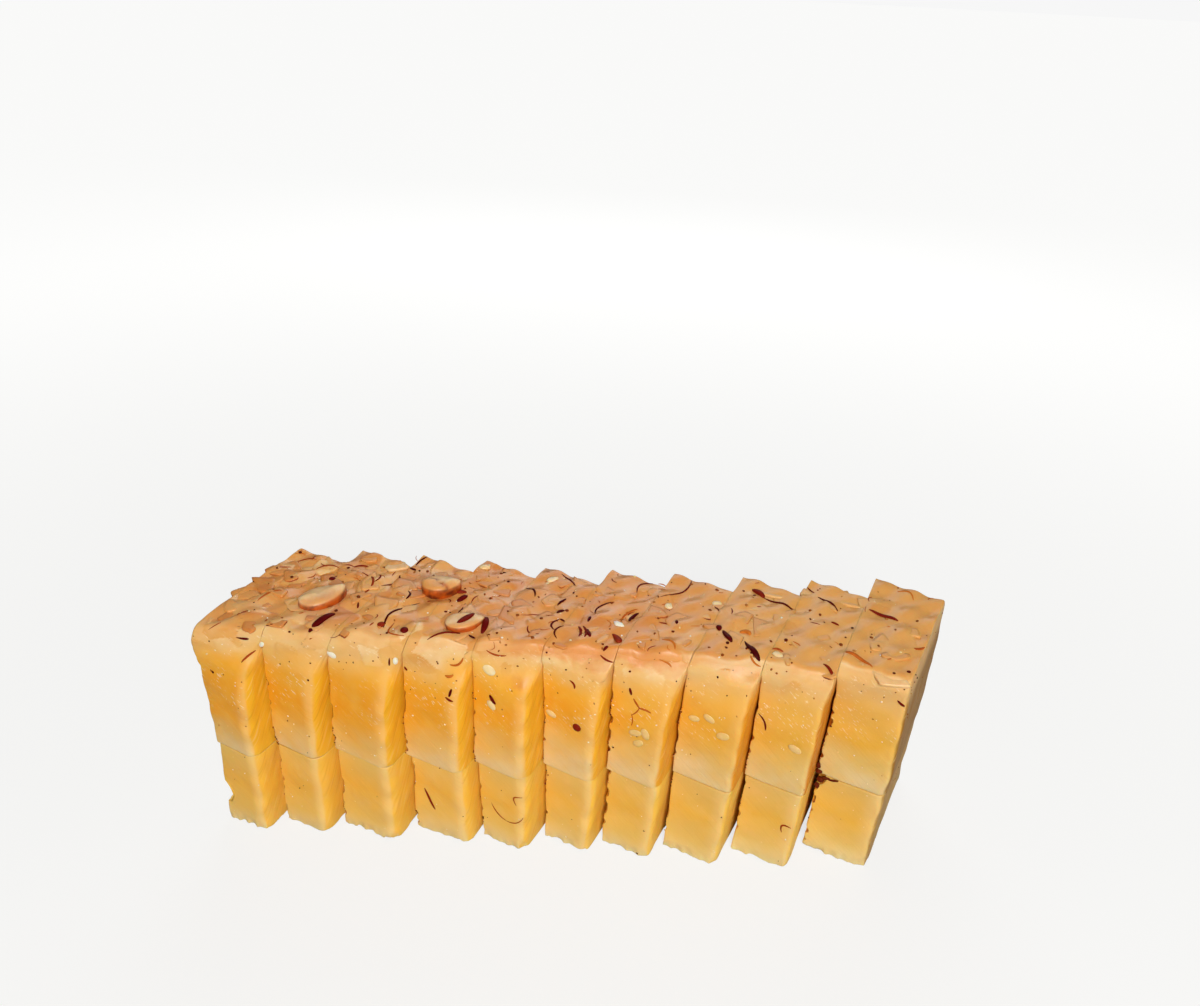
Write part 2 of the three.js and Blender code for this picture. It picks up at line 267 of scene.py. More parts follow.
def plates_of(number):
    random = np.random.default_rng(PLATE_SEED + number)
    count = round(along_row(number, *PLATES_SCATTERED))
    calm = lerp(1, 0.6, smooth(0.55, 1, along_row(number, 0, 1)))
    plates = []
    for i in range(count):
        across = (i * GOLDEN + 0.25 * random.random()) % 1
        back = lerp(*PLATE_REACH, (i + random.random()) / count)
        length = random.uniform(*PLATE_LENGTH)
        turn, slimness = random.uniform(0, 2 * np.pi), random.uniform(*PLATE_SLIMNESS)
        tilt, lift = random.uniform(-PLATE_TILT, PLATE_TILT, 2) * calm, random.uniform(*PLATE_LIFT) * calm
        skin, rim = random.uniform(0, 2 * np.pi), random.random() < 0.5
        tone = PALEST * random.random()
        where, size = on_top(number, across, back), (length, length * slimness)
        plates.append(Plate(*where, turn, *size, tilt, lift, skin, rim, tone, shard(random)))
    for one in SHARDS:
        if one.slice == number:
            where, size, flat = on_top(number, one.across, one.back), (one.length, one.width), np.zeros(2)
            turn, skin = math.radians(one.turn), math.radians(one.skin - one.turn)
            plates.append(Plate(*where, turn, *size, flat, SHARD_LIFT, skin, 1, one.tone, shard(random)))
    return plates


PLATES = {number: plates_of(number) for number in NUMBERS}


def mosaic(number, x, y):
    """Height of the plates over the glazed top at x, y, with the skin along their rims and their tones."""
    height = np.full(x.shape, along_row(number, *GLAZE_LEVEL))
    skin = np.zeros(x.shape)
    tone = np.full(x.shape, 0.5)
    nearby = [plate for other in (number - 1, number, number + 1) for plate in PLATES.get(other, [])]
    for plate in nearby:
        dx, dy = x - plate.x, y - plate.y
        close = np.abs(dx) + np.abs(dy) < 0.9 * plate.length
        if not close.any():
            continue
        dx, dy = dx[close], dy[close]
        cos, sin = math.cos(plate.turn), math.sin(plate.turn)
        p = (cos * dx + sin * dy) / (plate.length / 2)
        q = (cos * dy - sin * dx) / (plate.width / 2)
        reach = shard_reach(plate.shape, p, q)
        own = plate.lift + plate.tilt[0] * dx + plate.tilt[1] * dy - PLATE_FALL * reach**4
        own = lerp(BELOW_ALL, own, smooth(1.08, 0.93, reach))
        rim = plate.rim * smooth(0.93, 0.98, reach) * smooth(0.2, 0.5, np.cos(np.arctan2(q, p) - plate.skin))
        above = own > height[close]
        height[close] = np.where(above, own, height[close])
        skin[close] = np.where(above, rim, skin[close])
        tone[close] = np.where(above, plate.tone, tone[close])
    return height, skin, tone


# ---- The surface of a slice ----

SHARP = 0.8  # radius of the edges that the knife left
SOFT_LEFT = 5.0  # radius of the front right edges and of the back left ones, in the first slices
SOFT_RIGHT = 2.8  # and in the last ones
MERGED = (0.8, 0.96)  # between these heights in the upper slices the edges along the cuts close up
BROW = 6.0  # radius of the top front edges, where the glaze runs over
CLOSED_EDGE = 0.08  # radius of the edges that have closed up
TEETH = Wave(1.6, 2.6)  # the torn left edges
SEAM_CHIPS = Wave(0.7, 4.0)  # the bottom edges of the upper slices
FOOT_CHIPS = Wave(4.0, 8.0)  # and of the lower ones
LOBES = Wave(0.4, 5.5)  # nuts close under the surface, near the top
END_REACH = 8.0  # the fronts and the backs are uneven up to this far from the ends
TOP_REACH = 22.0  # and the top's unevenness goes on down to here
RIM_REACH = 7.0
CORNER_REACH = 7.0
BROW_REACH = 12.0
FRONT_RELIEF = 0.6  # of the plates, against that on the top


def radii(place, number, size, layer):
    """Radii of the edges near places: those of the low sides and of the high sides of the box."""
    across, back, up = np.moveaxis(np.clip(place, 0, 1), -1, 0)
    upper = layer == "upper"
    soft = lerp(SOFT_LEFT, SOFT_RIGHT, smooth(5, 9, number))
    wavy = soft * (1 + 0.25 * unevenness(up * size[2], 0, 17, number))
    merged = smooth(*MERGED, up) * upper
    soft = lerp(wavy, SHARP, merged)
    at_end = np.maximum(near(back * size[1], END_REACH), near((1 - back) * size[1], END_REACH))
    front = lerp(SHARP, soft, smooth(0.3, 0.7, across))
    rear = lerp(SHARP, soft, smooth(0.7, 0.3, across))
    left = lerp(SHARP, soft, smooth(0.4, 0.9, back))
    right = lerp(SHARP, soft, smooth(0.6, 0.1, back))
    corner = near((1 - across) * size[0], CORNER_REACH) * near(back * size[1], CORNER_REACH)
    bottom = lerp(0.25, 0.7, corner) if upper else np.full(up.shape, 0.3)
    top = lerp(0.3, BROW, near(back * size[1], BROW_REACH)) + 2 * at_end if upper else np.full(up.shape, 0.15)
    if upper:
        front = np.maximum(front, BROW * smooth(0.78, 0.95, up))
        left = lerp(left, CLOSED_EDGE, merged * (number > 1))
        right = lerp(right, CLOSED_EDGE, merged * (number < COUNT))
    return np.stack([left, front, bottom], axis=-1), np.stack([right, rear, top], axis=-1)


def rounded(place, number, size, layer):
    """Draws the edges of a box in to round ones. Places are fractions of its size."""
    low, high = radii(place, number, size, layer)
    point = place * size
    core = np.clip(point, low, size - high)
    radius = np.where(point < core, low, high)
    off = (point - core) / radius
    counted = off.copy()  # a closed edge doesn't draw in the others that it meets
    counted[..., 0] *= smooth(CLOSED_EDGE, SHARP, radius[..., 0])
    longest = np.abs(counted).max(axis=-1, keepdims=True)
    length = np.linalg.norm(counted, axis=-1, keepdims=True)
    shrink = np.where(length > 1e-9, longest / np.maximum(length, 1e-9), 1)
    return (core + off * shrink * radius) / size


def torn(place, number, layer):
    """Places moved for the teeth along the left edges and the chips along the bottom ones, and where the
    teeth open the gaps, which the materials darken as painted shade.
    """
    size = slice_size(number, layer)
    left, front, bottom = np.moveaxis(place * size, -1, 0)
    right = size[0] - left
    back = size[1] - front
    end = np.minimum(front, back)
    rim = np.minimum(np.minimum(left, right), end)
    along = np.stack([left, place[..., 1] * 40, bottom], axis=-1)
    moved = place.copy()
    bite = np.maximum(0, noise(along * (0, 1, 1), TEETH.length, number)) ** 0.7
    fade = 1 - smooth(0.55, 0.8, place[..., 2] - 0.15 * (number == 1)) if layer == "upper" else 1
    bite = bite * near(left, 1.8) * near(front, 3.0) * fade
    moved[..., 0] += TEETH.height * bite / size[0]
    chips = SEAM_CHIPS if layer == "upper" else FOOT_CHIPS
    lift = 0.5 + 0.5 * noise(along * (1, 1, 0), chips.length, number + 20)
    lift = lift + 0.35 * noise(along * (1, 1, 0), chips.length / 3, number + 40)
    moved[..., 2] += chips.height * np.maximum(0, lift - 0.45) * near(bottom, 1.6) * near(rim, 2.6) / size[2]
    # Where the teeth bite, the gap to the slice before opens: this share is painted as shade.
    return moved, smooth(0.3, 0.7, bite) * (number > 1)


def surface(number, layer, place):
    """Points of a slice's skin at places on its faces, the skin of the topping there together with the
    painted shade of the torn gaps, and the topping's tone.
    """
    size = slice_size(number, layer)
    moved, gap = torn(place, number, layer)
    point = in_slice(number, layer, *np.moveaxis(rounded(moved, number, size, layer), -1, 0))
    x, y, z = np.moveaxis(point, -1, 0).copy()
    back = np.clip(place[..., 1], 0, 1)
    at_front, at_back = near(back * DEPTH, END_REACH), near((1 - back) * DEPTH, END_REACH)
    point[..., 1] += FACE.height * unevenness(x, z, FACE.length, number) * at_front
    point[..., 1] += FACE.height * unevenness(x, z, FACE.length, number + 7) * at_back
    if layer == "lower":
        ragged = TORN.height * np.abs(unevenness(x, 0, TORN.length, number)) * near(z, 6)
        point[..., 1] += ragged * (at_front - at_back)
        return point, gap, np.full(x.shape, 0.5)
    drop = (1 - place[..., 2]) * size[2]
    angle = math.radians(SLICES[number - 1].turn)
    hang = drop * at_front
    height, skin, tone = mosaic(number, x - hang * math.sin(angle), y - hang * math.cos(angle))
    sag = FRONT_SAG * (1 - back) ** 8
    point[..., 2] += near(drop, TOP_REACH) * (TOP.height * unevenness(x, y, TOP.length, 3) - sag)
    # Over the brow the way out of the surface turns from up to forwards.
    up, ahead = 1 - np.clip(drop / BROW, 0, 1), 1 - np.clip(back * DEPTH / BROW, 0, 1)
    tilt = np.maximum(np.hypot(up, ahead), 1e-6)
    hanging = at_front * near(drop, HANG)
    point[..., 2] += up / tilt * height
    point[..., 1] -= FRONT_RELIEF * ahead / tilt * height * hanging
    rims = np.maximum(near(drop, RIM_REACH), hanging * (number < LAST_FLUSH))
    return point, np.maximum(gap, skin * rims), tone


# ---- Meshes ----


def to_object(name, points, faces, values):
    """A smooth object from points in millimetres. values are named attributes of the points."""
    mesh = bpy.data.meshes.new(name)
    mesh.from_pydata((points - MIDDLE) / 1000, [], faces)
    for label, value in values.items():
        kind = "FLOAT_VECTOR" if value.ndim == 2 else "FLOAT"
        attribute = mesh.attributes.new(label, kind, "POINT")
        attribute.data.foreach_set("vector" if value.ndim == 2 else "value", value.astype(np.float32).ravel())
    mesh.polygons.foreach_set("use_smooth", np.ones(len(mesh.polygons), bool))
    mesh.validate()
    piece = bpy.data.objects.new(name, mesh)
    bpy.context.scene.collection.objects.link(piece)
    return piece


def lattice(us, vs, ts):
    """Places all over the surface of a box, and the quads between them, facing out."""
    shape = (len(us), len(vs), len(ts))
    i, j, k = np.indices(shape)
    shell = (i % (shape[0] - 1) == 0) | (j % (shape[1] - 1) == 0) | (k % (shape[2] - 1) == 0)
    number = np.full(shape, -1)
    number[shell] = np.arange(shell.sum())
    quads = []
    for axis, last, flip in ((2, 0, 1), (2, 1, 0), (1, 0, 0), (1, 1, 1), (0, 0, 1), (0, 1, 0)):
        grid = np.take(number, -last, axis)
        corners = [grid[:-1, :-1], grid[1:, :-1], grid[1:, 1:], grid[:-1, 1:]]
        quads.append(np.stack(corners[::-1] if flip else corners, axis=-1).reshape(-1, 4))
    places = np.stack([us[i[shell]], vs[j[shell]], ts[k[shell]]], axis=-1)
    return places, np.concatenate(quads)


def stations(length, step, edge, fine):
    """Fractions along a length: fine steps near both ends and wider ones between."""
    ends = np.concatenate([[0, 0.06], np.arange(fine, edge, fine)])
    inner = np.linspace(edge, length - edge, round((length - 2 * edge) / step) + 1)
    return np.concatenate([ends, inner, length - ends[::-1]]) / length


def normals_of(points, quads):
    a, b, c, d = (points[quads[:, i]] for i in range(4))
    facing = np.cross(c - a, d - b)
    total = np.zeros(points.shape)
    for i in range(4):
        np.add.at(total, quads[:, i], facing)
    return unit(total)


# ---- Slices ----

GRID = {"upper": (0.5, 0.55, 0.65), "lower": (0.9, 1.1, 0.65)}  # spacing across, back and up
EDGE = 3.0  # this close to an edge the spacing is finer
FINE = 0.45
SWELL = Wave(0.1, 13.0)  # soft hollows and bulges all over
PITTING = Wave(0.05, 3.2)
DRAG = Wave(0.05, 2.8)  # ridges that the knife dragged into the faces
FRONT_DRAG = math.radians(-38)  # their slope on the fronts
SIDE_DRAG = math.radians(60)  # and on the cut sides
DRAG_STRETCH = 0.1
CALM_TOP = (1, 6)  # the knife's marks start between these distances down from the topped edge
DRAG_START = (2, 10)
LOBE_REACH = 16
STILL_FOOT = 0.8  # the marks stop this close above the seam and above the floor

Chip = namedtuple("Chip", "slice across up size")
CHIPS = [Chip(1, -0.06, 0.38, (12, 16, 14)), Chip(10, -0.03, 0.97, (9, 9, 13))]


def drag_marks(place, number, layer):
    size = slice_size(number, layer)
    left, front, bottom = np.moveaxis(place * size, -1, 0)
    at_end = np.minimum(front, size[1] - front) < 1
    level = np.where(at_end, left, front)
    slope = np.where(at_end, FRONT_DRAG, SIDE_DRAG)
    along = level * np.cos(slope) + bottom * np.sin(slope)
    beside = bottom * np.cos(slope) - level * np.sin(slope)
    marks = np.stack([beside, along * DRAG_STRETCH, 9.0 * at_end], axis=-1)
    return noise(marks, DRAG.length, number)


def chipped(points, number, layer):
    """Presses the ellipsoid of each chip into a lower slice."""
    for chip in CHIPS:
        if chip.slice != number or layer != "lower":
            continue
        centre = in_slice(number, layer, np.array(chip.across), np.array(0.0), np.array(chip.up))
        half = np.array(chip.size) / 2
        off = (points - centre) / half
        distance = np.linalg.norm(off, axis=-1, keepdims=True)
        rough = 1 + 0.09 * noise(points, 2.2, 3)[:, None]
        points = np.where(distance < rough, centre + off / np.maximum(distance, 0.05) * rough * half, points)
    return points


def slice_piece(number, layer):
    size = slice_size(number, layer)
    sides = [stations(length, step, EDGE, FINE) for length, step in zip(size, GRID[layer])]
    place, quads = lattice(*sides)
    points, skin, tone = surface(number, layer, place)
    normals = normals_of(points, quads)
    off_top = (1 - place[:, 2]) * size[2]
    calm = 1 if layer == "lower" else smooth(*CALM_TOP, off_top)
    shift = SWELL.height * noise(points, SWELL.length, 2) + PITTING.height * noise(points, PITTING.length, 4)
    shift += DRAG.height * drag_marks(place, number, layer) * smooth(*DRAG_START, off_top)
    if layer == "upper":
        shift += LOBES.height * np.maximum(0, noise(points, LOBES.length, 8)) * near(off_top, LOBE_REACH)
    shift = shift * calm
    still = near(place[:, 2] * size[2], STILL_FOOT)
    points = chipped(points + normals * (shift * (1 - still))[:, None], number, layer)
    values = {"place": place, "skin": skin, "tone": tone}
    name = f"{layer}_slice_{number:02d}"
    piece = to_object(f"{name}_halwa", points, quads, values)
    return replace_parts(piece, name)


# ---- Toppings ----

# The corner of each face of a slice and the directions of its u and v, which turn outwards.
FACES = {
    "top": ((0, 0, 1), (1, 0, 0), (0, 1, 0)),
    "front": ((0, 0, 0), (1, 0, 0), (0, 0, 1)),
    "right": ((1, 0, 0), (0, 1, 0), (0, 0, 1)),
    "back": ((1, 1, 0), (-1, 0, 0), (0, 0, 1)),
    "left": ((0, 1, 0), (0, -1, 0), (0, 0, 1)),
}
SLOPE_STEP = 1.2  # the slope of a face is taken over twice this length

Spot = namedtuple("Spot", "point right ahead out")


def spots(number, layer, face, us, vs):
    """Places on a face, each with two directions along it and the one out of it."""
    corner, along_u, along_v = (np.array(part, float) for part in FACES[face])
    place = corner + np.multiply.outer(us, along_u) + np.multiply.outer(vs, along_v)
    point = surface(number, layer, place)[0]
    if face == "top":
        right, ahead, out = (np.broadcast_to(axis, point.shape) for axis in np.eye(3))
        return Spot(point, right, ahead, out)
    step = SLOPE_STEP / slice_size(number, layer)
    right, ahead = (
        surface(number, layer, place + step * along)[0] - surface(number, layer, place - step * along)[0]
        for along in (along_u, along_v)
    )
    out = unit(np.cross(right, ahead))
    right = unit(right)
    return Spot(point, right, np.cross(out, right), out)


def spot(number, layer, face, u, v):
    return Spot(*(part[0] for part in spots(number, layer, face, np.array([u]), np.array([v]))))


def moved_by(at, shift):
    return at._replace(point=at.point + shift)


class Heap:
    """Small shapes of one kind, gathered into one object."""

    def __init__(self, name, seed=0):
        self.name, self.random = name, np.random.default_rng(seed)
        self.points, self.faces, self.skins, self.tones, self.total = [], [], [], [], 0

    def add(self, points, faces, skin=0.0, tone=0.5):
        self.faces += [[self.total + index for index in face] for face in faces]
        self.points.append(points)
        self.skins.append(np.broadcast_to(skin, len(points)))
        self.tones.append(np.broadcast_to(tone, len(points)))
        self.total += len(points)

    def dab(self, shape, size, at, turn, tone, tip=0.0):
        """Adds a plain shape of unit size, made as large as size and laid at a spot."""
        points, faces = shape
        self.add(laid(points * size, at, turn, tip), faces, 0.0, tone)

    def piece(self):
        values = {"skin": np.concatenate(self.skins), "tone": np.concatenate(self.tones)}
        piece = to_object(self.name, np.concatenate(self.points), self.faces, values)
        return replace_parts(piece, *[f"upper_slice_{number:02d}" for number in NUMBERS])


def stack_faces(rings, sides):
    """Faces of a stack of rings of points, which go round anticlockwise seen from its top."""
    faces = [list(range(sides))[::-1], [(rings - 1) * sides + i for i in range(sides)]]
    for ring in range(rings - 1):
        for i in range(sides):
            a, b = ring * sides + i, ring * sides + (i + 1) % sides
            faces.append([a, b, b + sides, a + sides])
    return faces


def loft(profile, outline):
    """A closed shape from an outline, drawn in by the radii of the profile's levels, from the bottom up."""
    rings = [np.column_stack([level[0] * outline, np.full(len(outline), level[1])]) for level in profile]
    return np.concatenate(rings), stack_faces(len(profile), len(outline))


def circle(sides):
    angle = 2 * np.pi * np.arange(sides) / sides
    return np.column_stack([np.cos(angle), np.sin(angle)]) / 2


def ball(rings, sides):
    levels = np.pi * ((np.arange(rings) + 0.5) / rings - 0.5)
    return loft([(math.cos(level), math.sin(level) / 2) for level in levels], circle(sides))


def laid(points, at, turn=0.0, tip=0.0):
    """Points turned about the way out, tipped up on their right side and laid at a spot."""
    right = math.cos(turn) * at.right + math.sin(turn) * at.ahead
    ahead = math.cos(turn) * at.ahead - math.sin(turn) * at.right
    tipped = math.cos(tip) * ahead + math.sin(tip) * at.out
    out = math.cos(tip) * at.out - math.sin(tip) * ahead
    return at.point + points @ np.stack([right, tipped, out])


def teardrop(sides):
    """Outline of an almond, pointed to the right."""
    angle = 2 * np.pi * np.arange(sides) / sides
    return np.column_stack([np.cos(angle), 1.15 * np.sin(angle) * np.sqrt(np.sin(angle / 2))]) / 2


# Levels of the shapes, from the bottom up: radius, height and how far the skin covers them.
HALF_LEVELS = [(0.4, -0.5, 1), (0.75, -0.42, 1), (0.95, -0.2, 1), (1, 0.08, 1), (0.985, 0.24, 0.8),
               (0.95, 0.33, 0), (0.85, 0.4, 0), (0.6, 0.45, 0), (0.3, 0.4, 0)]
FLAKE_LEVELS = [(0.4, -0.5, 0), (0.9, -0.5, 0), (1, -0.3, 1), (1, 0.2, 1), (0.94, 0.44, 0), (0.7, 0.5, 0),
                (0.35, 0.5, 0)]


def skin_over(levels, sides):
    """How far the skin covers each point of a loft."""
    return np.repeat([level[2] for level in levels], sides)


# rake lifts the right end, ridge is the height of the ridge along the cut face, and notch a cut across it.
Half = namedtuple("Half", "slice across back length width height lift turn tip rake ridge notch")
HALVES = [
    Half(2, 0.34, 0.39, 20.5, 14, 8, 0.9, 34, -6, 0.1, 0.16, 0),
    Half(3, 0.82, 0.67, 17, 13, 8, 0.8, 10, -8, -0.08, 0.12, 1),
    Half(4, 0.63, 0.235, 16.5, 11, 5, 0.2, 18, -3, 0.0, 0.0, 0),
]
# A dark lump in the opening of the last half: painted shade.
SLIT_SHADE_LUMP = (9.4, 2.8, 1.2)  # the dark opening in the last of them
SLIT_TURN = 50
SLIT_SHIFT = (0.4, 0.2)
SLIT_RISE = 2.3

Flake = namedtuple("Flake", "slice across back length width height turn tip tone")
FLAKES = [
    Flake(9, 0.9, 0.06, 8, 6, 1.4, -50, 18, 0.2),
    Flake(10, 0.72, 0.02, 19, 6, 2, -14, 20, 0.9),
    Flake(2, 0.78, 0.93, 12, 9, 1.6, 20, -8, 0.9),
    Flake(2, 0.45, 0.62, 15, 8, 1.5, 35, 12, 0.6),
    Flake(5, 0.3, 0.84, 7, 5, 1.6, 30, 14, 1.0),
    Flake(6, 0.93, 0.86, 11, 8, 1.4, -30, 8, 0.6),
    Flake(8, 0.55, 0.9, 15, 8, 1.5, -12, -14, 0.8),
    Flake(9, 0.7, 0.88, 14, 7, 1.5, -20, -12, 0.7),
]

# Smaller flakes are scattered over the tops as on the solids.
FLAKES_SCATTERED = (15, 9)  # on the first slice and on the last one
FLAKE_LENGTH = (7, 14)
FLAKE_SLIMNESS = (0.5, 0.8)
FLAKE_THICKNESS = 1.3
FLAKE_SIDES = 40
HALF_SIDES = 36
FLAKE_TILT = 5
SCATTER_MARGIN = 0.07
SCATTER_SEED = 2026
FLAKE_LIFT = (-0.5, -0.65)  # on the first slice and on the last one: nearly all of a flake is in the glaze
BLANCHED = 0.85  # flakes as pale as this have no skin


def scattered_flakes(number):
    random = random_from(SCATTER_SEED + number)
    count = round(along_row(number, *FLAKES_SCATTERED))
    for i in range(count):
        length = lerp(*FLAKE_LENGTH, next(random))
        across = lerp(SCATTER_MARGIN, 1 - SCATTER_MARGIN, (i * GOLDEN + next(random) * 0.3) % 1)
        back = lerp(SCATTER_MARGIN, 1 - SCATTER_MARGIN, (i + next(random)) / count)
        next(random)
        width = length * lerp(*FLAKE_SLIMNESS, next(random))
        turn, tip = 360 * next(random), FLAKE_TILT * (2 * next(random) - 1)
        yield Flake(number, across, back, length, width, FLAKE_THICKNESS, turn, tip, (7.3 * across) % 0.8)


def flake_outline(random, sides=FLAKE_SIDES):
    angle = 2 * np.pi * np.arange(sides) / sides
    x, y = np.cos(angle), np.sin(angle)
    radius = 0.5 * random.uniform(0.97, 1.03, sides) / shard_reach(shard(random), x, y)
    return np.column_stack([radius * x, radius * y])


def almond_flakes():
    heap = Heap("almond_flakes", seed=11)
    scattered = [flake for number in NUMBERS for flake in scattered_flakes(number)]
    random = heap.random
    for flake in FLAKES + scattered:
        points, faces = loft(FLAKE_LEVELS, flake_outline(random))
        side = random.uniform(0, 2 * np.pi)
        angle = np.arctan2(points[:, 1], points[:, 0])
        skin = skin_over(FLAKE_LEVELS, FLAKE_SIDES) * smooth(0.1, 0.6, np.cos(angle - side))
        points = points * (flake.length, flake.width, flake.height)
        points[:, 2] += random.uniform(-0.006, 0.012) * points[:, 0] ** 2
        at = spot(flake.slice, "upper", "top", flake.across, flake.back)
        at = moved_by(at, along_row(flake.slice, *FLAKE_LIFT) * flake.height * at.out)
        points = laid(points, at, math.radians(flake.turn), math.radians(flake.tip))
        heap.add(points, faces, skin * (random.random() < 0.5) * (flake.tone < BLANCHED), flake.tone)
    return heap.piece()


def almond_halves():
    heap = Heap("almond_halves")
    for half in HALVES:
        points, faces = loft(HALF_LEVELS, teardrop(HALF_SIDES))
        x, y, cut = points[:, 0], points[:, 1], points[:, 2] > 0.3
        notch = half.notch * np.exp(-(((x + 0.5 * y + 0.05) / 0.05) ** 2)) * cut * (y < 0.15)
        skin = np.maximum(skin_over(HALF_LEVELS, HALF_SIDES), notch)
        # The tone is darker on one side of the ridge as painted shade, and darker beyond the notch.
        tone = 1 - 0.25 * smooth(0.05, -0.3, y) - 0.2 * half.notch * (x + 0.5 * y < -0.05)
        points[:, 2] += half.rake * x + (half.ridge * np.exp(-((y / 0.16) ** 2)) - 0.1 * notch) * cut
        at = moved_by(spot(half.slice, "upper", "top", half.across, half.back), (0, 0, half.lift))
        size = (half.length, half.width, half.height)
        heap.add(laid(points * size, at, math.radians(half.turn), math.radians(half.tip)), faces, skin, tone)
    return heap.piece()


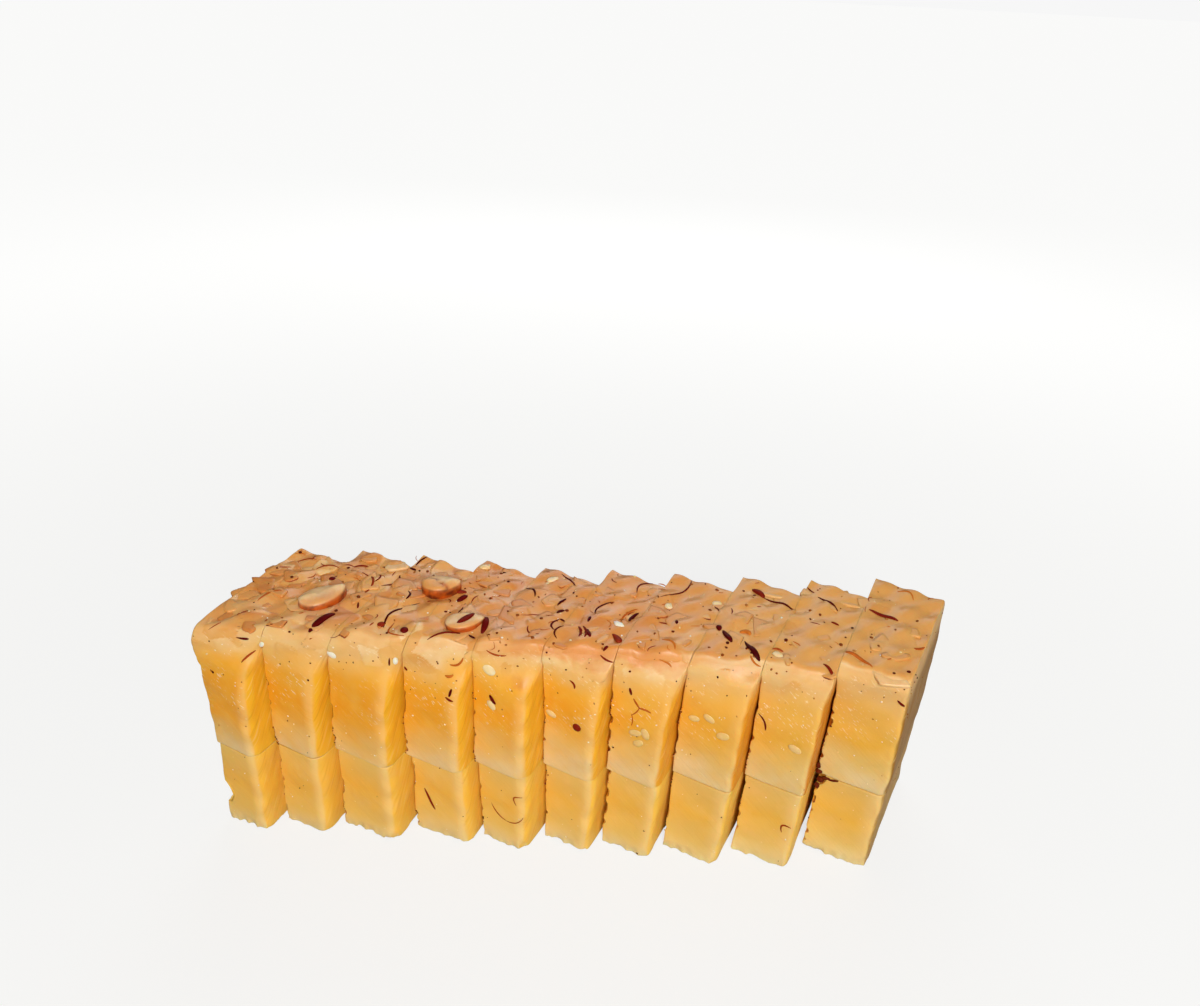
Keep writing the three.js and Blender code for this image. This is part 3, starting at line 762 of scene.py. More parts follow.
# Dark slivers and threads of skin, by face and slice, on the upper slices and on the lower ones: from where
# to where on the face, the greatest thickness, their tone from black-brown to orange-brown, how far they
# bend off the straight line, and how much thicker they end than they begin.
Strand = namedtuple("Strand", "u v to_u to_v thickness tone bend head", defaults=(0, 0))
STRANDS = {
    ("top", 1): [(0.46, 0.35, 0.64, 0.49, 1, 0.7, 0.15, 0.3), (0.2, 0.86, 0.5, 0.92, 0.8, 0.6, 0.15),
                 (0.68, 0.82, 1, 0.9, 0.8, 0.5, 0.25)],
    ("top", 2): [(0.66, 0.05, 0.76, 0.25, 3.3, 0.1, 0.04), (0, 0.06, 0.19, 0.06, 1.5, 0.2, 0.1, -0.6),
                 (0.19, 0.79, 0.39, 0.85, 1, 0.4, 0.2), (0.4, 0.76, 0.8, 0.53, 1.2, 0.5, 0.25, 0.3),
                 (0.59, 0.88, 0.78, 0.88, 1.1, 0.1, 0, 0.3), (0.69, 0.78, 0.79, 0.67, 0.8, 0.3, 0.2),
                 (0.93, 0.66, 0.99, 0.84, 1.4, 0.2, -0.2, 0.5), (0.89, 0.42, 0.95, 0.37, 0.9, 0.2)],
    ("top", 3): [(0, 0.82, 0.15, 0.81, 1.4, 0), (0.03, 0.88, 0.08, 0.99, 0.9, 0, 0.1),
                 (0.38, 0.57, 0.48, 0.48, 1.3, 0, 0.2, 0.5), (0.56, 0.15, 0.7, 0.48, 1.2, 0, 0.18, -0.4),
                 (0.64, 0.21, 0.94, 0.07, 0.8, 0.7, -0.3)],
    ("top", 4): [(0.01, 0.56, 0.2, 0.59, 2.2, 0.4), (0.19, 0.48, 0.27, 0.55, 2.6, 0.15),
                 (0.33, 0.48, 0.4, 0.34, 0.8, 0.1), (0.84, 0.34, 0.99, 0.15, 2.8, 0.2, 0.05),
                 (0.81, 0.13, 0.94, 0.1, 1.1, 0), (0.29, 0.04, 0.73, 0.12, 1, 0.3, 0.1)],
    ("top", 5): [(0.01, 0.69, 0.28, 0.6, 1, 0, 0.15), (0.34, 0.96, 0.69, 0.87, 1, 0.1, 0.05, 0.3),
                 (0.7, 0.56, 0.74, 0.67, 1.2, 0), (0.79, 0.46, 0.88, 0.5, 1.5, 0, 0.1),
                 (0.31, 0.36, 0.81, 0.41, 0.5, 0.5, 0.1), (0.54, 0.26, 0.81, 0.17, 0.7, 0.3, -0.2),
                 (0.98, 0.23, 0.91, 0.39, 0.9, 0.1, 0.2), (0.91, 0.39, 1, 0.38, 1, 0)],
    ("top", 6): [(0.33, 0.32, 0.31, 0.38, 1.3, 0), (0.34, 0.42, 0.46, 0.6, 0.8, 0, 0.25),
                 (0.05, 0.24, 0.09, 0.12, 0.8, 0.1, -0.25), (0.25, 0.26, 0.38, 0.14, 1.2, 0.3, 0.1),
                 (0.31, 0.27, 0.47, 0.13, 1.2, 0.3, 0.1), (0.4, 0.24, 0.54, 0.14, 1.9, 0.2),
                 (0.79, 0.23, 0.96, 0.12, 4, 0.45, 0.1, 0.5), (0.85, 0.07, 0.81, 0.03, 1.5, 0.2),
                 (0.66, 0.8, 0.78, 0.99, 0.8, 0.2, 0.2), (0.76, 0.42, 0.86, 0.58, 1, 0.8, 0.15),
                 (0.88, 0.42, 0.92, 0.54, 1.7, 0, 0.1)],
    ("top", 7): [(0.06, 0.66, 0.3, 0.98, 0.9, 0.2, -0.15, 0.2), (0.28, 0.39, 0.43, 0.38, 0.7, 0.4, 0.1),
                 (0.51, 0.43, 0.55, 0.38, 1.3, 0), (0.5, 0.18, 0.74, 0.08, 1, 0.9, 0.15),
                 (0.83, 0.74, 0.99, 0.66, 0.8, 0.2, 0.1)],
    ("top", 8): [(0.11, 0.37, 0.16, 0.31, 3, 0.1, 0, -0.4), (0.21, 0.32, 0.42, 0.2, 2.8, 0.05, 0, 0.2),
                 (0.25, 0.87, 0.48, 0.82, 3, 0.3, 0.1), (0.48, 0.82, 0.99, 0.77, 1.4, 0.1, 0.05, 0.3),
                 (0.44, 0.35, 0.6, 0.33, 2.2, 0.9, 0.35), (0.58, 0.25, 0.93, 0.05, 3.6, 0, -0.02, 0.6),
                 (0.78, 0.08, 0.97, 0.01, 1.2, 0.9, -0.1)],
    ("top", 9): [(0, 0.91, 0.16, 0.87, 0.8, 0.2), (0.25, 0.83, 0.64, 0.73, 1.4, 0.1, 0.05, 0.2),
                 (0.62, 0.58, 0.75, 0.58, 1.2, 0.3), (0, 0.16, 0.16, 0.17, 1.1, 0.6, 0.2),
                 (0.78, 0.12, 0.98, 0.01, 1.5, 0.4, 0.1)],
    ("top", 10): [(0.35, 0.92, 0.6, 0.88, 0.9, 0.9, 0.3), (0.08, 0.62, 0.51, 0.6, 2.2, 0.3, 0.04, 0.2),
                  (0.01, 0.14, 0.43, 0.07, 2.4, 0.8, 0.1, -0.5), (0.86, 0.36, 0.99, 0.4, 1.2, 0.7, -0.15)],
    ("front", 1): [(0.65, 0.97, 0.83, 0.96, 1.5, 0.1, 0, 0.7), (0.83, 0.78, 0.99, 0.85, 0.9, 0.6, 0.1)],
    ("front", 3): [(0.86, 0.87, 0.9, 0.82, 0.9, 0.1, 0, 0.3)],
    ("front", 4): [(0.04, 0.78, 0.08, 0.75, 1.2, 0.3, 0, 0.3), (0.72, 0.85, 0.89, 0.9, 1, 0.8, -0.3),
                   (0.69, 0.78, 0.81, 0.79, 1.2, 0.9, -0.2), (0.76, 0.63, 0.9, 0.61, 1.1, 0.3),
                   (0.84, 0.7, 0.82, 0.64, 1.2, 0.1)],
    ("front", 5): [(0.19, 0.97, 0.49, 0.94, 0.8, 0.6, -0.15), (0.33, 0.64, 0.44, 0.58, 1.6, 0.15)],
    ("front", 6): [(0.79, 1, 1, 0.94, 0.9, 0.4, -0.15, 0.2), (0.45, 0.79, 0.54, 0.73, 1, 0.4, 0.2)],
    ("front", 7): [(0.29, 0.75, 0.33, 0.7, 1.2, 0.2), (0.5, 0.62, 0.37, 0.68, 0.9, 0.7),
                   (0.48, 0.62, 0.7, 0.61, 1, 0.8, 0.08), (0.5, 0.63, 0.38, 0.55, 0.6, 0.8, 0.1),
                   (0.38, 0.56, 0.4, 0.47, 0.5, 0.7, 0.1), (0.58, 1, 0.79, 0.94, 0.8, 0.9, 0.1)],
    ("front", 9): [(0.04, 0.56, 0.2, 0.44, 1, 0.2, 0.15, 0.2)],
    ("front", 10): [(0.86, 0.84, 0.97, 0.8, 1.2, 0.2)],
}
LOW_STRANDS = {
    ("front", 4): [(0.22, 0.58, 0.4, 0.34, 1.2, 0.4)],
    ("front", 5): [(0.25, 0.52, 0.6, 0.34, 0.6, 0.6, -0.15), (0.58, 0.34, 0.97, 0.46, 0.6, 0.6, -0.15),
                   (0.8, 0.6, 0.95, 0.72, 0.7, 0.6, 0.5)],
    ("front", 9): [(0.8, 0.48, 0.93, 0.58, 0.8, 0.5, 0.5)],
}
STRAND_STEPS = 11
STRAND_SIDES = 8
STRAND_FLATNESS = 0.6
TAPER = 0.9


def add_strand(heap, layer, face, number, strand):
    """A tube along a bent line that follows the surface, thinner towards its ends."""
    share = np.linspace(0, 1, STRAND_STEPS)
    size = slice_size(number, layer) @ np.abs(np.array(FACES[face][1:], float)).T
    start = np.array([strand.u, strand.v])
    way = (np.array([strand.to_u, strand.to_v]) - start) * size
    beside = np.array([-way[1], way[0]]) * strand.bend * 4
    where = start + (np.outer(share, way) + np.outer(share * (1 - share), beside)) / size
    at = spots(number, layer, face, *where.T)
    tangent = unit(np.gradient(at.point, axis=0))
    side = unit(np.cross(at.out, tangent))
    radius = strand.thickness / 2 * np.sqrt(1 - TAPER * (2 * share - 1) ** 2)
    radius = radius * (1 + strand.head * (share - 1) if strand.head > 0 else 1 + strand.head * share)
    points = []
    for i in range(STRAND_STEPS):
        angle = 2 * np.pi * np.arange(STRAND_SIDES) / STRAND_SIDES
        ring = np.outer(np.cos(angle), side[i]) + STRAND_FLATNESS * np.outer(np.sin(angle), at.out[i])
        points.append(at.point[i] + radius[i] * (ring + 0.25 * at.out[i]))
    heap.add(np.concatenate(points), stack_faces(STRAND_STEPS, STRAND_SIDES), 0.0, strand.tone)


THREADS = (9, 5)  # thin ones scattered over the first top and the last one
# Round lumps of skin: face, slice, where on it, size and tone.
LUMPS = [("top", 3, 0.5, 0.17, 3.2, 0.45), ("top", 3, 0.89, 0.12, 3.4, 0.2), ("top", 2, 0.09, 0.62, 2.8, 0.2),
         ("front", 6, 0.65, 0.44, 4.0, 0.35)]


def nut_skins_and_slit_shade():
    heap = Heap("nut_skins_and_slit_shade", seed=12)
    for layer, strands in (("upper", STRANDS), ("lower", LOW_STRANDS)):
        for (face, number), rows in strands.items():
            for row in rows:
                add_strand(heap, layer, face, number, Strand(*row))
    random = heap.random
    for number in NUMBERS:
        for i in range(round(along_row(number, *THREADS))):
            u, v = (i * GOLDEN + 0.2 * random.random()) % 1, random.random()
            reach, turn = random.uniform(0.02, 0.09), random.uniform(0, 2 * np.pi)
            to = (u + 2 * reach * math.cos(turn), v + reach * math.sin(turn))
            thin = random.uniform(0.3, 0.65)
            bend, tone = random.uniform(-0.3, 0.3), random.uniform(0.3, 1)
            add_strand(heap, "upper", "top", number, Strand(u, v, *to, thin, tone, bend))
    # The dark lump in the last half's slit is painted shade of the opening.
    last = HALVES[-1]
    at = spot(last.slice, "upper", "top", last.across, last.back)
    at = moved_by(at, (*SLIT_SHIFT, last.lift + SLIT_RISE))
    lump = ball(7, 16)
    heap.dab(lump, SLIT_SHADE_LUMP, at, math.radians(SLIT_TURN), 0.25)
    for face, number, u, v, size, tone in LUMPS:
        heap.dab(lump, (size, size, 0.5 * size), spot(number, "upper", face, u, v), 0.0, tone)
    return heap.piece()


ALL_OVER = ((0.02, 0.98), (0.02, 0.98))
NEAR_TOP = ((0.03, 0.97), (0.62, 1.0))
EDGE_BAND = (-0.012, 0.012)  # of u: on both sides of a face's left edge

# Small blobs all over a face: how many on the first slice and on the last one, within which (from, to) of u
# and of v, and how long and how slim they are.
Scatter = namedtuple("Scatter", "layer face count region length slimness")
SPECKS = [
    Scatter("upper", "top", (24, 15), ALL_OVER, (0.7, 2.0), (0.5, 0.95)),
    Scatter("upper", "front", (6, 6), NEAR_TOP, (0.6, 1.4), (0.4, 0.9)),
    Scatter("upper", "front", (4, 4), ALL_OVER, (0.5, 1.2), (0.5, 0.9)),
    Scatter("lower", "front", (2, 2), ALL_OVER, (0.5, 1.2), (0.4, 0.9)),
    Scatter("upper", "back", (6, 6), NEAR_TOP, (0.6, 1.5), (0.4, 0.9)),
    Scatter("lower", "back", (2, 2), ALL_OVER, (0.5, 1.2), (0.4, 0.9)),
]
END_SPECKS = [
    Scatter("upper", "left", (16, 16), NEAR_TOP, (0.6, 1.5), (0.4, 0.9)),
    Scatter("lower", "left", (6, 6), ALL_OVER, (0.5, 1.2), (0.4, 0.9)),
]
# Tiny white bits that stand in for glints: painted highlights on the tops, the fronts and the backs.
WHITE_GLINT_BITS = [
    Scatter("upper", "top", (9, 9), ALL_OVER, (0.5, 1.3), (0.7, 1)),
    Scatter("upper", "front", (16, 16), ALL_OVER, (0.4, 1.1), (0.5, 1)),
    Scatter("lower", "front", (6, 6), ALL_OVER, (0.4, 0.9), (0.5, 1)),
    Scatter("upper", "back", (12, 12), ALL_OVER, (0.4, 1.0), (0.5, 1)),
]
CRUMBS = [
    Scatter("upper", "front", (13, 13), (EDGE_BAND, (0.01, 0.62)), (0.4, 1.3), (0.5, 1)),
    Scatter("lower", "front", (6, 6), (EDGE_BAND, (0.2, 0.99)), (0.4, 1.3), (0.5, 1)),
]
CLUMPS = 4  # of crumbs on each edge
CLUMP_SPREAD = 0.03


def scatter(heap, shape, number, kind, clumps=0):
    """Blobs of a kind at random places of a slice, in so many clumps up its face, or freely."""
    random = heap.random
    count = round(along_row(number, *kind.count))
    us, vs = random.uniform(*kind.region[0], count), random.uniform(*kind.region[1], count)
    if clumps:
        centres = random.uniform(*kind.region[1], clumps)
        vs = centres[random.integers(clumps, size=count)] + random.normal(0, CLUMP_SPREAD, count)
        vs = np.clip(vs, *kind.region[1])
    at = spots(number, kind.layer, kind.face, us, vs)
    for i in range(count):
        one = lerp(*kind.length, random.random() ** 2)
        slim = random.uniform(*kind.slimness)
        size = np.array([one, one * slim, one * 0.6])
        here = Spot(*(part[i] for part in at))
        heap.dab(shape, size, here, random.uniform(0, np.pi), random.random())


def specks():
    heap = Heap("specks", seed=13)
    small = ball(4, 7)
    for number in NUMBERS:
        for kind in SPECKS:
            scatter(heap, small, number, kind)
    for number, face in ((1, "left"), (COUNT, "right")):
        for kind in END_SPECKS:
            scatter(heap, small, number, kind._replace(face=face))
    return heap.piece()


# Brown crumbs in the chip under the seam of the last slice: layer, across, up and size.
LEDGE = [
    ("upper", 0.01, 0.01, (3.4, 2.6, 2.2)),
    ("upper", 0.0, 0.06, (2.2, 3.4, 1.6)),
    ("lower", 0.05, 0.93, (3.6, 3.0, 2.4)),
    ("lower", 0.12, 0.97, (4.4, 1.6, 1.6)),
    ("lower", 0.24, 0.98, (5.0, 1.2, 1.2)),
    ("lower", 0.02, 0.85, (2.4, 3.2, 2.0)),
]


def crumbs():
    """Dark crumbs that the knife tore out along the left front edges and the right back ones."""
    heap = Heap("crumbs", seed=14)
    small = ball(4, 7)
    for kind in CRUMBS:
        for face, numbers in (("front", NUMBERS[1:]), ("back", NUMBERS[:-1])):
            for number in numbers:
                scatter(heap, small, number, kind._replace(face=face), CLUMPS)
    lump = ball(6, 10)
    for layer, u, v, size in LEDGE:
        heap.dab(lump, size, spot(COUNT, layer, "front", u, v), 0.3, 0.3)
    return heap.piece()


# Pale seeds pressed into the fronts of the upper slices.
Seed = namedtuple("Seed", "slice across up length turn tone")
SEEDS = [
    Seed(2, 0.02, 0.9, 3.4, 40, 1),
    Seed(3, 0.06, 0.85, 4.8, 125, 0.9),
    Seed(3, 0.96, 0.85, 3.4, 90, 0.9),
    Seed(5, 0.27, 0.82, 6.4, 145, 0.55),
    Seed(5, 0.36, 0.56, 5.2, 125, 0.4),
    Seed(6, 0.15, 0.47, 5.2, 160, 0.3),
    Seed(7, 0.48, 0.42, 6, 20, 0.15),
    Seed(7, 0.66, 0.44, 6, 110, 0.15),
    Seed(7, 0.56, 0.34, 5.5, 40, 0.1),
    Seed(8, 0.23, 0.52, 5, 10, 0.15),
    Seed(8, 0.46, 0.56, 5.5, 150, 0.15),
    Seed(8, 0.72, 0.46, 6, 20, 0.1),
    Seed(9, 0.7, 0.38, 6, 170, 0.2),
]
SEED_WIDTH = 0.62
SEED_HEIGHT = 0.8


def seeds():
    heap = Heap("seeds")
    shape = ball(8, 18)
    for seed in SEEDS:
        size = (seed.length, seed.length * SEED_WIDTH, SEED_HEIGHT)
        at = spot(seed.slice, "upper", "front", seed.across, seed.up)
        heap.dab(shape, size, at, math.radians(seed.turn), seed.tone)
    return heap.piece()


# White chips of nut on the tops: slice, across, back, length, width, turn and tone.
WHITE_CHIPS = [
    (6, 0.8, 0.34, 3.8, 2.4, -10, 1),
    (7, 0.25, 0.6, 4, 3.4, 20, 0.6),
    (7, 0.88, 0.78, 4.4, 2.6, 0, 0.5),
    (5, 0.28, 0.86, 5.5, 3, 30, 0.6),
    (4, 0.1, 0.9, 5, 3.4, 15, 0.4),
    (9, 0.12, 0.12, 4.2, 3, -10, 0.5),
]
CHIP_LEVELS = [(0.9, -0.5), (1, -0.3), (1, 0.3), (0.9, 0.45)]
CHIP_HEIGHT = 1.6
CHIP_SIDES = 12
CHIP_SPREAD = 1.1
CHIP_TIP = 0.1


def white_chips_and_glints():
    heap = Heap("white_chips_and_glints", seed=15)
    for number, across, back, length, width, turn, tone in WHITE_CHIPS:
        shape = loft(CHIP_LEVELS, CHIP_SPREAD * flake_outline(heap.random, CHIP_SIDES))
        at = spot(number, "upper", "top", across, back)
        heap.dab(shape, (length, width, CHIP_HEIGHT), at, math.radians(turn), tone, CHIP_TIP)
    # Tiny white bits as painted glints.
    small = ball(5, 9)
    for number in NUMBERS:
        for kind in WHITE_GLINT_BITS:
            scatter(heap, small, number, kind)
    return heap.piece()


# ---- Materials ----


def colour(code):
    """A colour from its usual six hexadecimal digits."""
    parts = [int(code[i : i + 2], 16) / 255 for i in (0, 2, 4)]
    return [c / 12.92 if c <= 0.04045 else ((c + 0.055) / 1.055) ** 2.4 for c in parts] + [1]


class Field:
    """A value or a colour that varies over a surface: one output of a node."""

    def __init__(self, paint, socket):
        self.paint, self.socket = paint, socket

    def math(self, operation, other=0.0):
        return self.paint.add("ShaderNodeMath", {0: self, 1: other}, operation=operation)

    def __add__(self, other):
        return self.math("ADD", other)

    def __sub__(self, other):
        return self.math("SUBTRACT", other)

    def __rsub__(self, other):
        return self * -1 + other

    def __mul__(self, other):
        return self.math("MULTIPLY", other)

    def __abs__(self):
        return self.math("ABSOLUTE")

    def step(self, low, high, out=(0.0, 1.0)):
        """Smooth step from out's first value below low to its second above high."""
        inputs = {"Value": self, "From Min": low, "From Max": high, "To Min": out[0], "To Max": out[1]}
        return self.paint.add("ShaderNodeMapRange", inputs, interpolation_type="SMOOTHSTEP")

    def mix(self, other, share):
        """This with a share of another field, or of a colour of six digits."""
        other = colour(other) if isinstance(other, str) else other
        return self.paint.add("ShaderNodeMix", {0: share, 6: self, 7: other}, 2, data_type="RGBA")

    def ramp(self, stops):
        node = self.paint.tree.nodes.new("ShaderNodeValToRGB")
        self.paint.feed(node.inputs[0], self)
        band = node.color_ramp
        while len(band.elements) < len(stops):
            band.elements.new(0.5)
        for element, (position, code) in zip(band.elements, stops):
            element.position = position
            element.color = colour(code)
        return Field(self.paint, node.outputs[0])


class Paint:
    """A material and short ways to add nodes to it."""

    def __init__(self, name, roughness, subsurface, specular=0.5):
        self.material = bpy.data.materials.new(name)
        self.material.use_nodes = True
        self.tree = self.material.node_tree
        self.shader = self.tree.nodes["Principled BSDF"]
        self.set("Roughness", roughness)
        self.set("Specular IOR Level", specular)
        self.set("Subsurface Weight", subsurface[0])
        self.set("Subsurface Scale", subsurface[1] / 1000)
        self.set("Subsurface Radius", (1.0, 0.5, 0.2))

    def set(self, name, value):
        self.feed(self.shader.inputs[name], value)

    def feed(self, socket, value):
        if isinstance(value, Field):
            self.tree.links.new(value.socket, socket)
        else:
            socket.default_value = value

    def add(self, kind, inputs, output=0, **settings):
        node = self.tree.nodes.new(kind)
        for label, value in settings.items():
            setattr(node, label, value)
        for label, value in inputs.items():
            self.feed(node.inputs[label], value)
        return Field(self, node.outputs[output])

    def attribute(self, name, output="Fac"):
        return self.add("ShaderNodeAttribute", {}, output, attribute_name=name)

    def place(self):
        """How far across, back and up in its slice."""
        vector = self.attribute("place", "Vector")
        return [self.add("ShaderNodeSeparateXYZ", {0: vector}, i) for i in range(3)]

    def spot(self):
        return self.add("ShaderNodeTexCoord", {}, "Object")

    def noise(self, size, detail=2.0, where=None):
        """Noise from about 0 to 1 with lumps of that size in millimetres."""
        inputs = {"Vector": where or self.spot(), "Scale": 1000 / size, "Detail": detail}
        return self.add("ShaderNodeTexNoise", inputs, "Fac")

    def ripple(self, size, detail, amount):
        """Noise on both sides of 0."""
        return (self.noise(size, detail) - 0.5) * amount

    def dot(self, vector, other):
        return self.add("ShaderNodeVectorMath", {0: vector, 1: other}, "Value", operation="DOT_PRODUCT")

    def along(self, direction, scale=1.0):
        """Distance along a direction, in metres."""
        return self.dot(self.spot(), [scale * part for part in direction])

    def rightwards(self, scale=1.0):
        return self.along((1, 0, 0), scale)

    def facing(self, direction):
        return self.dot(self.add("ShaderNodeNewGeometry", {}, "Normal"), direction)

    def streaks(self, level, slope, size, stretch):
        """Noise stretched along lines in the upright plane of the level direction, at a slope."""
        cos, sin = math.cos(slope), math.sin(slope)
        beside = self.along((-sin * level[0], -sin * level[1], cos))
        along = self.along((cos * level[0], cos * level[1], sin), stretch)
        return self.noise(size, 2.0, self.add("ShaderNodeCombineXYZ", {0: beside, 1: along}))

    def bump(self, height, depth):
        """A relief of depth millimetres."""
        inputs = {"Height": height, "Distance": depth / 1000, "Strength": 1.0}
        self.set("Normal", self.add("ShaderNodeBump", inputs))


TURN = math.radians(25)  # of the cuts, about the same all along the row
ALONG_FRONT = (math.cos(TURN), -math.sin(TURN))
ALONG_SIDE = (math.sin(TURN), math.cos(TURN))
UP = (0, 0, 1)


def face_masks(paint):
    """How far the surface faces a cut, and how far it faces up."""
    side = abs(paint.facing((*ALONG_FRONT, 0)))
    top = paint.facing(UP) + paint.ripple(8, 3.0, 0.8)
    return side.step(0.5, 0.9), top.step(0.5, 0.9)


def near_middle(paint):
    """1 round the middle of the row."""
    return abs(paint.rightwards()).step(0.08, 0.02)


def scratched(body, lines, amount):
    """A colour with brighter and darker lines."""
    return body.mix("FFDC92", lines.step(0.54, 0.72) * amount).mix("B8690E", lines.step(0.46, 0.28) * amount)


def knife_lines(paint, side):
    front_lines = paint.streaks(ALONG_FRONT, FRONT_DRAG, 0.9, 0.05)
    return front_lines.mix(paint.streaks(ALONG_SIDE, SIDE_DRAG, 1.1, 0.05), side)


def knife_bump(paint, lines, strong, depth):
    """The relief of the lines dragged by the knife, pores and a soft unevenness."""
    paint.bump(lines * strong + paint.noise(0.8, 3.0) * 0.25 + paint.noise(4.0) * 0.8, depth)


def glazed(paint):
    """The topping's colour: tan glaze and almond, with amber patches, and pinkish patches that are partly the
    glaze's own tone and partly a painted reflection of its sheen.
    """
    tone = paint.attribute("tone") + paint.ripple(5, 3.0, 0.45)
    body = tone.ramp([(0, "D3833C"), (0.3, "DE944B"), (0.6, "E6A156"), (0.85, "EDB16A"), (1, "F9D299")])
    end = paint.rightwards().step(0.01, 0.1)
    # Pinkish patches, stronger at the left: partly the glaze's own tone, partly a painted reflection of its
    # sheen.
    body = body.mix("D59A78", paint.noise(26).step(0.5, 0.66) * end.step(0, 1, (0.45, 0.0)))
    body = body.mix("E4963A", paint.noise(14).step(0.56, 0.7) * 0.4)
    return body.mix("DB8C44", near_middle(paint) * 0.55).mix("DFA95E", end * 0.55)


# The cut sides, from the left end of the row to the right one: they darken towards the right end as painted
# shade, and the last stop paints the end face dark as painted shade.
FLANK_WITH_PAINTED_SHADE = [(0, "F3B526"), (0.5, "F3B126"), (0.7, "E39316"), (0.82, "CD7808"), (0.875, "C87607"),
         (0.9, "9C6809")]
# The lower cut sides: paler towards the right as painted light against the shade between the slices, and the
# end face darker as painted shade.
LOW_FLANK_WITH_PAINTED_LIGHT_AND_SHADE = [(0, "F8BC3E"), (0.5, "FFC644"), (0.68, "FFCE58"), (0.875, "FFD068"), (0.9, "B2843F")]
PER_METRE = 3.1  # of those stops, with the row's middle at 0.5
# The fronts of the upper slices, from the seam to the brow, at the left and at the right.
WARM = [(0, "EDC88B"), (0.14, "EEBA65"), (0.32, "F1A62D"), (0.5, "F19F1C"), (0.68, "F1A82E"),
        (0.83, "EDB762"), (0.93, "E9C384"), (1, "E8C086")]
MELLOW = [(0, "E3C891"), (0.2, "E3BF6F"), (0.42, "E8B041"), (0.66, "EDB656"), (0.84, "E8B972"),
          (0.94, "DCC087"), (1, "D8BD8E")]
# And those of the lower slices.
LOW_WARM = [(0, "EFCE8D"), (0.25, "F1C05D"), (0.6, "F5B545"), (1, "EEBE62")]
LOW_MELLOW = [(0, "EFD698"), (0.25, "EBC167"), (0.6, "ECB64A"), (1, "E0B664")]


def cut_side(paint, stops):
    return (paint.rightwards(PER_METRE) + 0.5).ramp(stops)


def topped_halwa():
    paint = Paint("topped_halwa", 0.42, (0.35, 4.0), 0.2)
    across, back, up = paint.place()
    side, top = face_masks(paint)
    to_right = paint.rightwards().step(-0.03, 0.12)
    middle = near_middle(paint)
    wander = paint.ripple(22, 2.0, 0.34)
    rise = up + wander + middle * up.step(0.45, 0.8, (-0.1, 0.0))
    body = rise.ramp(WARM).mix(rise.ramp(MELLOW), to_right)
    body = body.mix("F2B94D", paint.noise(9, 3.0).step(0.42, 0.72) * 0.35)
    flank = side * (up - to_right * 0.15).step(0.85, 0.6)
    # The cut sides' colour, with painted shade towards the right end.
    body = body.mix(cut_side(paint, FLANK_WITH_PAINTED_SHADE), flank * 0.95)
    # Painted highlight: paler along the front's right edge, less so towards the right end of the row.
    pale = (across + wander).step(0.7, 0.97) * rise.step(0.95, 0.6) * side.step(1, 0.3)
    body = body.mix("F0CB88", pale * to_right.step(0, 1, (0.4, 0.15)))
    tone = paint.attribute("tone") + paint.ripple(5, 3.0, 0.4)
    cream = tone.ramp([(0, "DC9A48"), (0.35, "E4AC62"), (0.7, "EABE80"), (1, "F6DDB4")])
    cloud = (paint.noise(17).step(0.38, 0.55) * 0.5 + 0.4) * rise.step(0.73, 0.92)
    lines = knife_lines(paint, side)
    body = scratched(body.mix(cream, cloud), lines, side * 0.25 + up.step(0.75, 0.3, (0.02, 0.08)))
    # The glaze runs over the brow, except at the left, where the cream shows on the top too.
    crest = (up + paint.ripple(7, 3.0, 0.2) + middle * 0.07).step(0.95, 1.05)
    crest = crest * middle.math("MAXIMUM", to_right.step(0, 1, (0.6, 0.2)))
    close = (back + paint.ripple(12, 3.0, 0.3)).step(0.24, 0.05)
    bare = close * paint.rightwards().step(0.0, -0.11, (0, 0.8))
    body = body.mix(glazed(paint), top.math("MAXIMUM", crest) * (1 - bare))
    dashes = paint.streaks(ALONG_FRONT, FRONT_DRAG, 0.8, 0.25).step(0.6, 0.68) * up.step(0.25, 0.5)
    dashes = dashes * paint.noise(13).step(0.4, 0.65) * (side + paint.facing(UP)).step(0.5, 0.1)
    body = body.mix("FBE6C0", dashes * 0.7)
    # The skin attribute paints the nut skins' own dark brown and the painted shade of the torn gaps between
    # slices.
    paint.set("Base Color", body.mix("6A2208", paint.attribute("skin") * to_right.step(0, 1, (0.85, 0.4))))
    paint.set("Roughness", top.step(0, 1, (0.42, 0.3)))
    wet = paint.noise(9, 3.0).step(0.4, 0.65, (0.1, 0.8)) * to_right.step(0, 1, (1, 0.3))
    paint.set("Coat Weight", paint.facing(UP).step(0.5, 0.9) * wet)
    paint.set("Coat Roughness", 0.24)
    knife_bump(paint, lines, up.step(0.75, 0.2, (0.1, 0.6)), 0.22)
    return paint.material


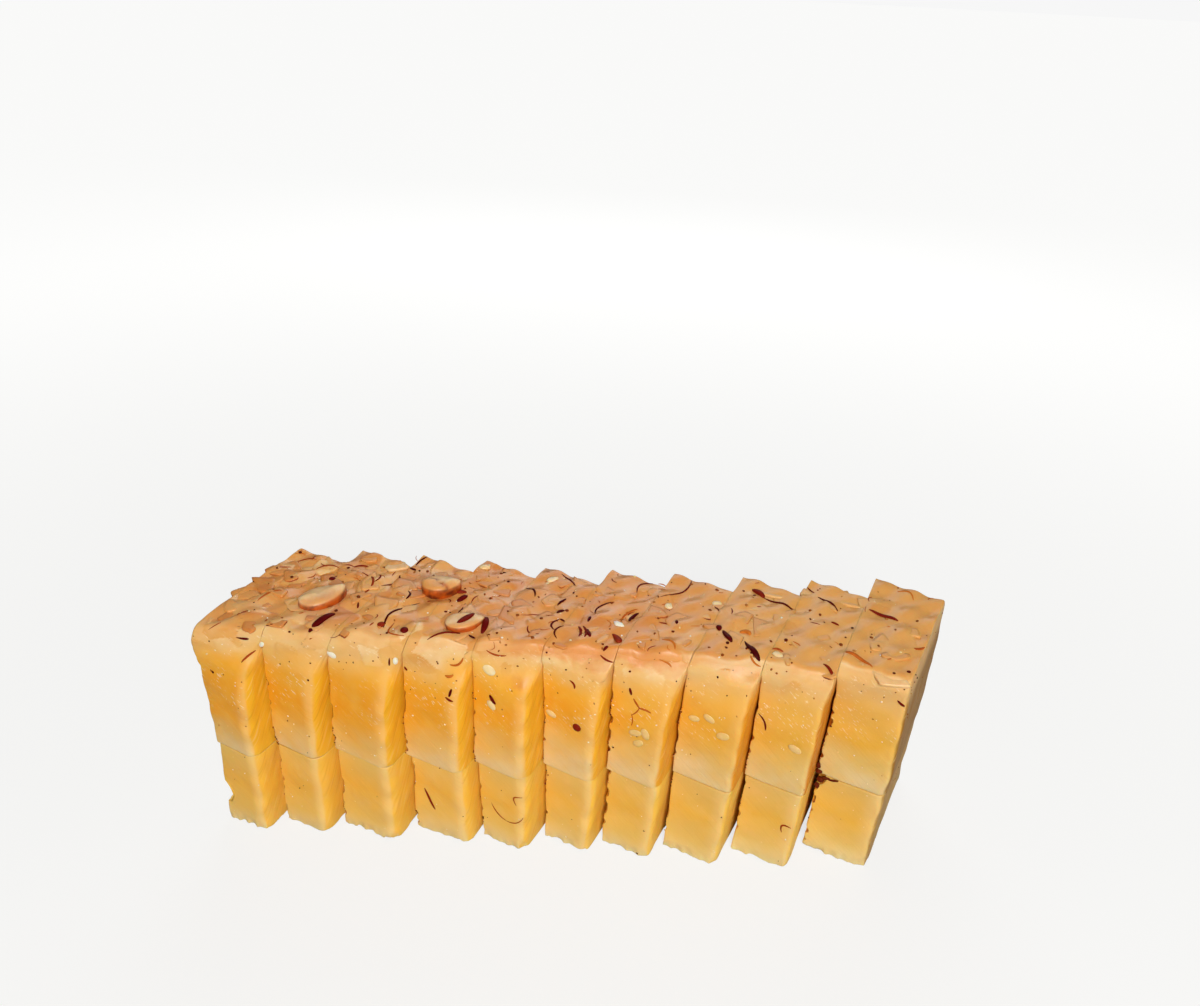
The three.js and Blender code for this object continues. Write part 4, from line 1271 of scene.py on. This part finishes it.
def plain_halwa():
    paint = Paint("plain_halwa", 0.42, (0.35, 4.0), 0.2)
    across, _, up = paint.place()
    side, _ = face_masks(paint)
    to_right = paint.rightwards().step(-0.1, 0.1)
    rise = up + paint.ripple(20, 2.0, 0.3)
    body = rise.ramp(LOW_WARM).mix(rise.ramp(LOW_MELLOW), to_right)
    # The lower cut sides' colour, with its painted light and painted shade.
    body = body.mix(cut_side(paint, LOW_FLANK_WITH_PAINTED_LIGHT_AND_SHADE), side * 0.8)
    # Painted highlight: paler along the front's right edge.
    body = body.mix("F3D292", across.step(0.68, 0.97) * side.step(1, 0.3) * 0.45)
    body = body.mix("F3C272", paint.noise(8, 3.0).step(0.45, 0.75) * 0.3)
    lines = knife_lines(paint, side)
    body = scratched(body, lines, side * 0.15 + 0.05)
    # Painted shadow: darker just under the seam, where the upper slice overhangs.
    body = body.mix("A8620E", up.step(0.988, 0.998) * to_right.step(0, 1, (0.6, 0.3)))
    # The skin attribute here marks only the torn gaps between slices: painted shade.
    paint.set("Base Color", body.mix("7A2E10", paint.attribute("skin") * 0.8))
    knife_bump(paint, lines, 0.5, 0.2)
    return paint.material


def almond():
    paint = Paint("almond", 0.38, (0.3, 2.0), 0.4)
    pale = paint.noise(5, 3.0).ramp([(0.3, "E9B678"), (0.7, "F5D4A2")])
    rim = paint.noise(4).ramp([(0.35, "6E2408"), (0.6, "C4560E")])
    body = glazed(paint).mix(pale, paint.attribute("tone").step(0.7, 1.0))
    paint.set("Base Color", body.mix(rim, paint.attribute("skin")))
    paint.bump(paint.noise(1.2, 3.0) + paint.noise(5), 0.15)
    return paint.material


def grained(paint, grain, uneven, stops, pores, depth):
    """Colours along a ramp, by the tone of each shape and a grain, and a relief of pores."""
    tone = paint.attribute("tone") + paint.ripple(grain, 3.0, uneven)
    paint.set("Base Color", tone.ramp(stops))
    paint.bump(pores, depth)
    return paint.material


def nut_skin():
    paint = Paint("nut_skin", 0.4, (0.1, 1.0), 0.05)
    stops = [(0, "480608"), (0.2, "660A08"), (0.45, "8E2810"), (0.75, "B8581C"), (1, "D8802E")]
    return grained(paint, 2, 0.3, stops, paint.noise(0.9, 3.0), 0.1)


def dark_crumb():
    paint = Paint("dark_crumb", 0.5, (0.0, 1.0), 0.04)
    stops = [(0, "420E08"), (0.3, "60220E"), (0.65, "8E481A"), (1, "C48844")]
    return grained(paint, 0.8, 0.3, stops, paint.noise(0.4), 0.08)


def pale_nut():
    paint = Paint("pale_nut", 0.3, (0.4, 2.0))
    return grained(paint, 1.5, 0.5, [(0, "F2BE6C"), (0.5, "F8D49C"), (1, "FFF2E0")], paint.noise(0.7), 0.08)


# ---- The row ----


def dress(piece, material):
    piece.data.materials.append(material)
    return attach(piece, "root")


TOPPED = topped_halwa()
PLAIN = plain_halwa()
for number in NUMBERS:
    dress(slice_piece(number, "lower"), PLAIN)
    dress(slice_piece(number, "upper"), TOPPED)
ALMOND = almond()
DARK = dark_crumb()
PALE = pale_nut()
dress(almond_flakes(), ALMOND)
dress(almond_halves(), ALMOND)
dress(nut_skins_and_slit_shade(), nut_skin())
dress(specks(), DARK)
dress(crumbs(), DARK)
dress(seeds(), PALE)
dress(white_chips_and_glints(), PALE)

# ---- Stage, light and camera ----

CAMERA_PLACE = (0.00553, -0.29708, 0.3411)
CAMERA_YAW = math.radians(-0.62)
CAMERA_PITCH = math.radians(30.72)  # down
CAMERA_ROLL = math.radians(3.0)
IMAGE_WIDTH = 1200
FOCAL_PIXELS = 883.9
SENSOR = 36


def add_camera():
    data = bpy.data.cameras.new("camera")
    data.sensor_width = SENSOR
    data.lens = SENSOR * FOCAL_PIXELS / IMAGE_WIDTH
    data.clip_start = 0.01
    camera = bpy.data.objects.new("camera", data)
    bpy.context.scene.collection.objects.link(camera)
    level = math.cos(CAMERA_PITCH)
    ahead = Vector((math.sin(CAMERA_YAW) * level, math.cos(CAMERA_YAW) * level, -math.sin(CAMERA_PITCH)))
    right = Vector((math.cos(CAMERA_YAW), -math.sin(CAMERA_YAW), 0))
    above = right.cross(ahead)
    cos, sin = math.cos(CAMERA_ROLL), math.sin(CAMERA_ROLL)
    turned = Matrix([right * cos + above * sin, above * cos - right * sin, -ahead]).transposed()
    camera.matrix_world = Matrix.Translation(CAMERA_PLACE) @ turned.to_4x4()
    bpy.context.scene.camera = camera


def add_light(name, place, target, size, power, tint):
    data = bpy.data.lights.new(name, "AREA")
    data.size = size
    data.energy = power
    data.color = tint
    light = bpy.data.objects.new(name, data)
    light.location = place
    light.rotation_euler = (Vector(target) - Vector(place)).to_track_quat("-Z", "Y").to_euler()
    bpy.context.scene.collection.objects.link(light)


FLOOR_GLOW = (0.77, 0.92)  # near the row and far from it, so that the floor looks pale all over
SKY_LIGHT = 0.14
SKY_SEEN = 0.93


def add_floor():
    mesh = bpy.data.meshes.new("floor")
    reach = 30
    corners = [(-reach, -reach, 0), (reach, -reach, 0), (reach, reach, 0), (-reach, reach, 0)]
    mesh.from_pydata(corners, [], [(0, 1, 2, 3)])
    floor = bpy.data.objects.new("floor", mesh)
    bpy.context.scene.collection.objects.link(floor)
    paint = Paint("floor", 0.8, (0.0, 1.0), 0.1)
    seen = paint.add("ShaderNodeLightPath", {}, "Is Camera Ray")
    paint.set("Base Color", seen.ramp([(0, "B4B4B2"), (1, "727271")]))
    distance = paint.add("ShaderNodeVectorMath", {0: paint.spot()}, "Value", operation="LENGTH")
    paint.set("Emission Color", colour("FFFFFE"))
    paint.set("Emission Strength", seen * distance.step(0.1, 1.1, FLOOR_GLOW))
    mesh.materials.append(paint.material)


def add_world():
    world = bpy.data.worlds.new("world")
    world.use_nodes = True
    tree = world.node_tree
    background = tree.nodes["Background"]
    background.inputs["Color"].default_value = (1, 1, 1, 1)
    seen = tree.nodes.new("ShaderNodeLightPath")
    strength = tree.nodes.new("ShaderNodeMapRange")
    strength.inputs["To Min"].default_value = SKY_LIGHT
    strength.inputs["To Max"].default_value = SKY_SEEN
    tree.links.new(seen.outputs["Is Camera Ray"], strength.inputs["Value"])
    tree.links.new(strength.outputs[0], background.inputs["Strength"])
    bpy.context.scene.world = world


add_camera()
add_world()
add_floor()
add_light("key", (0.15, -0.86, 0.67), (0, 0, 0.05), 0.4, 10.2, (1, 0.98, 0.95))
add_light("glaze", (0.05, 0.9, 0.75), (0, 0, 0.1), 0.9, 4.5, (1, 1, 1))
bpy.context.scene.view_settings.view_transform = "Standard"
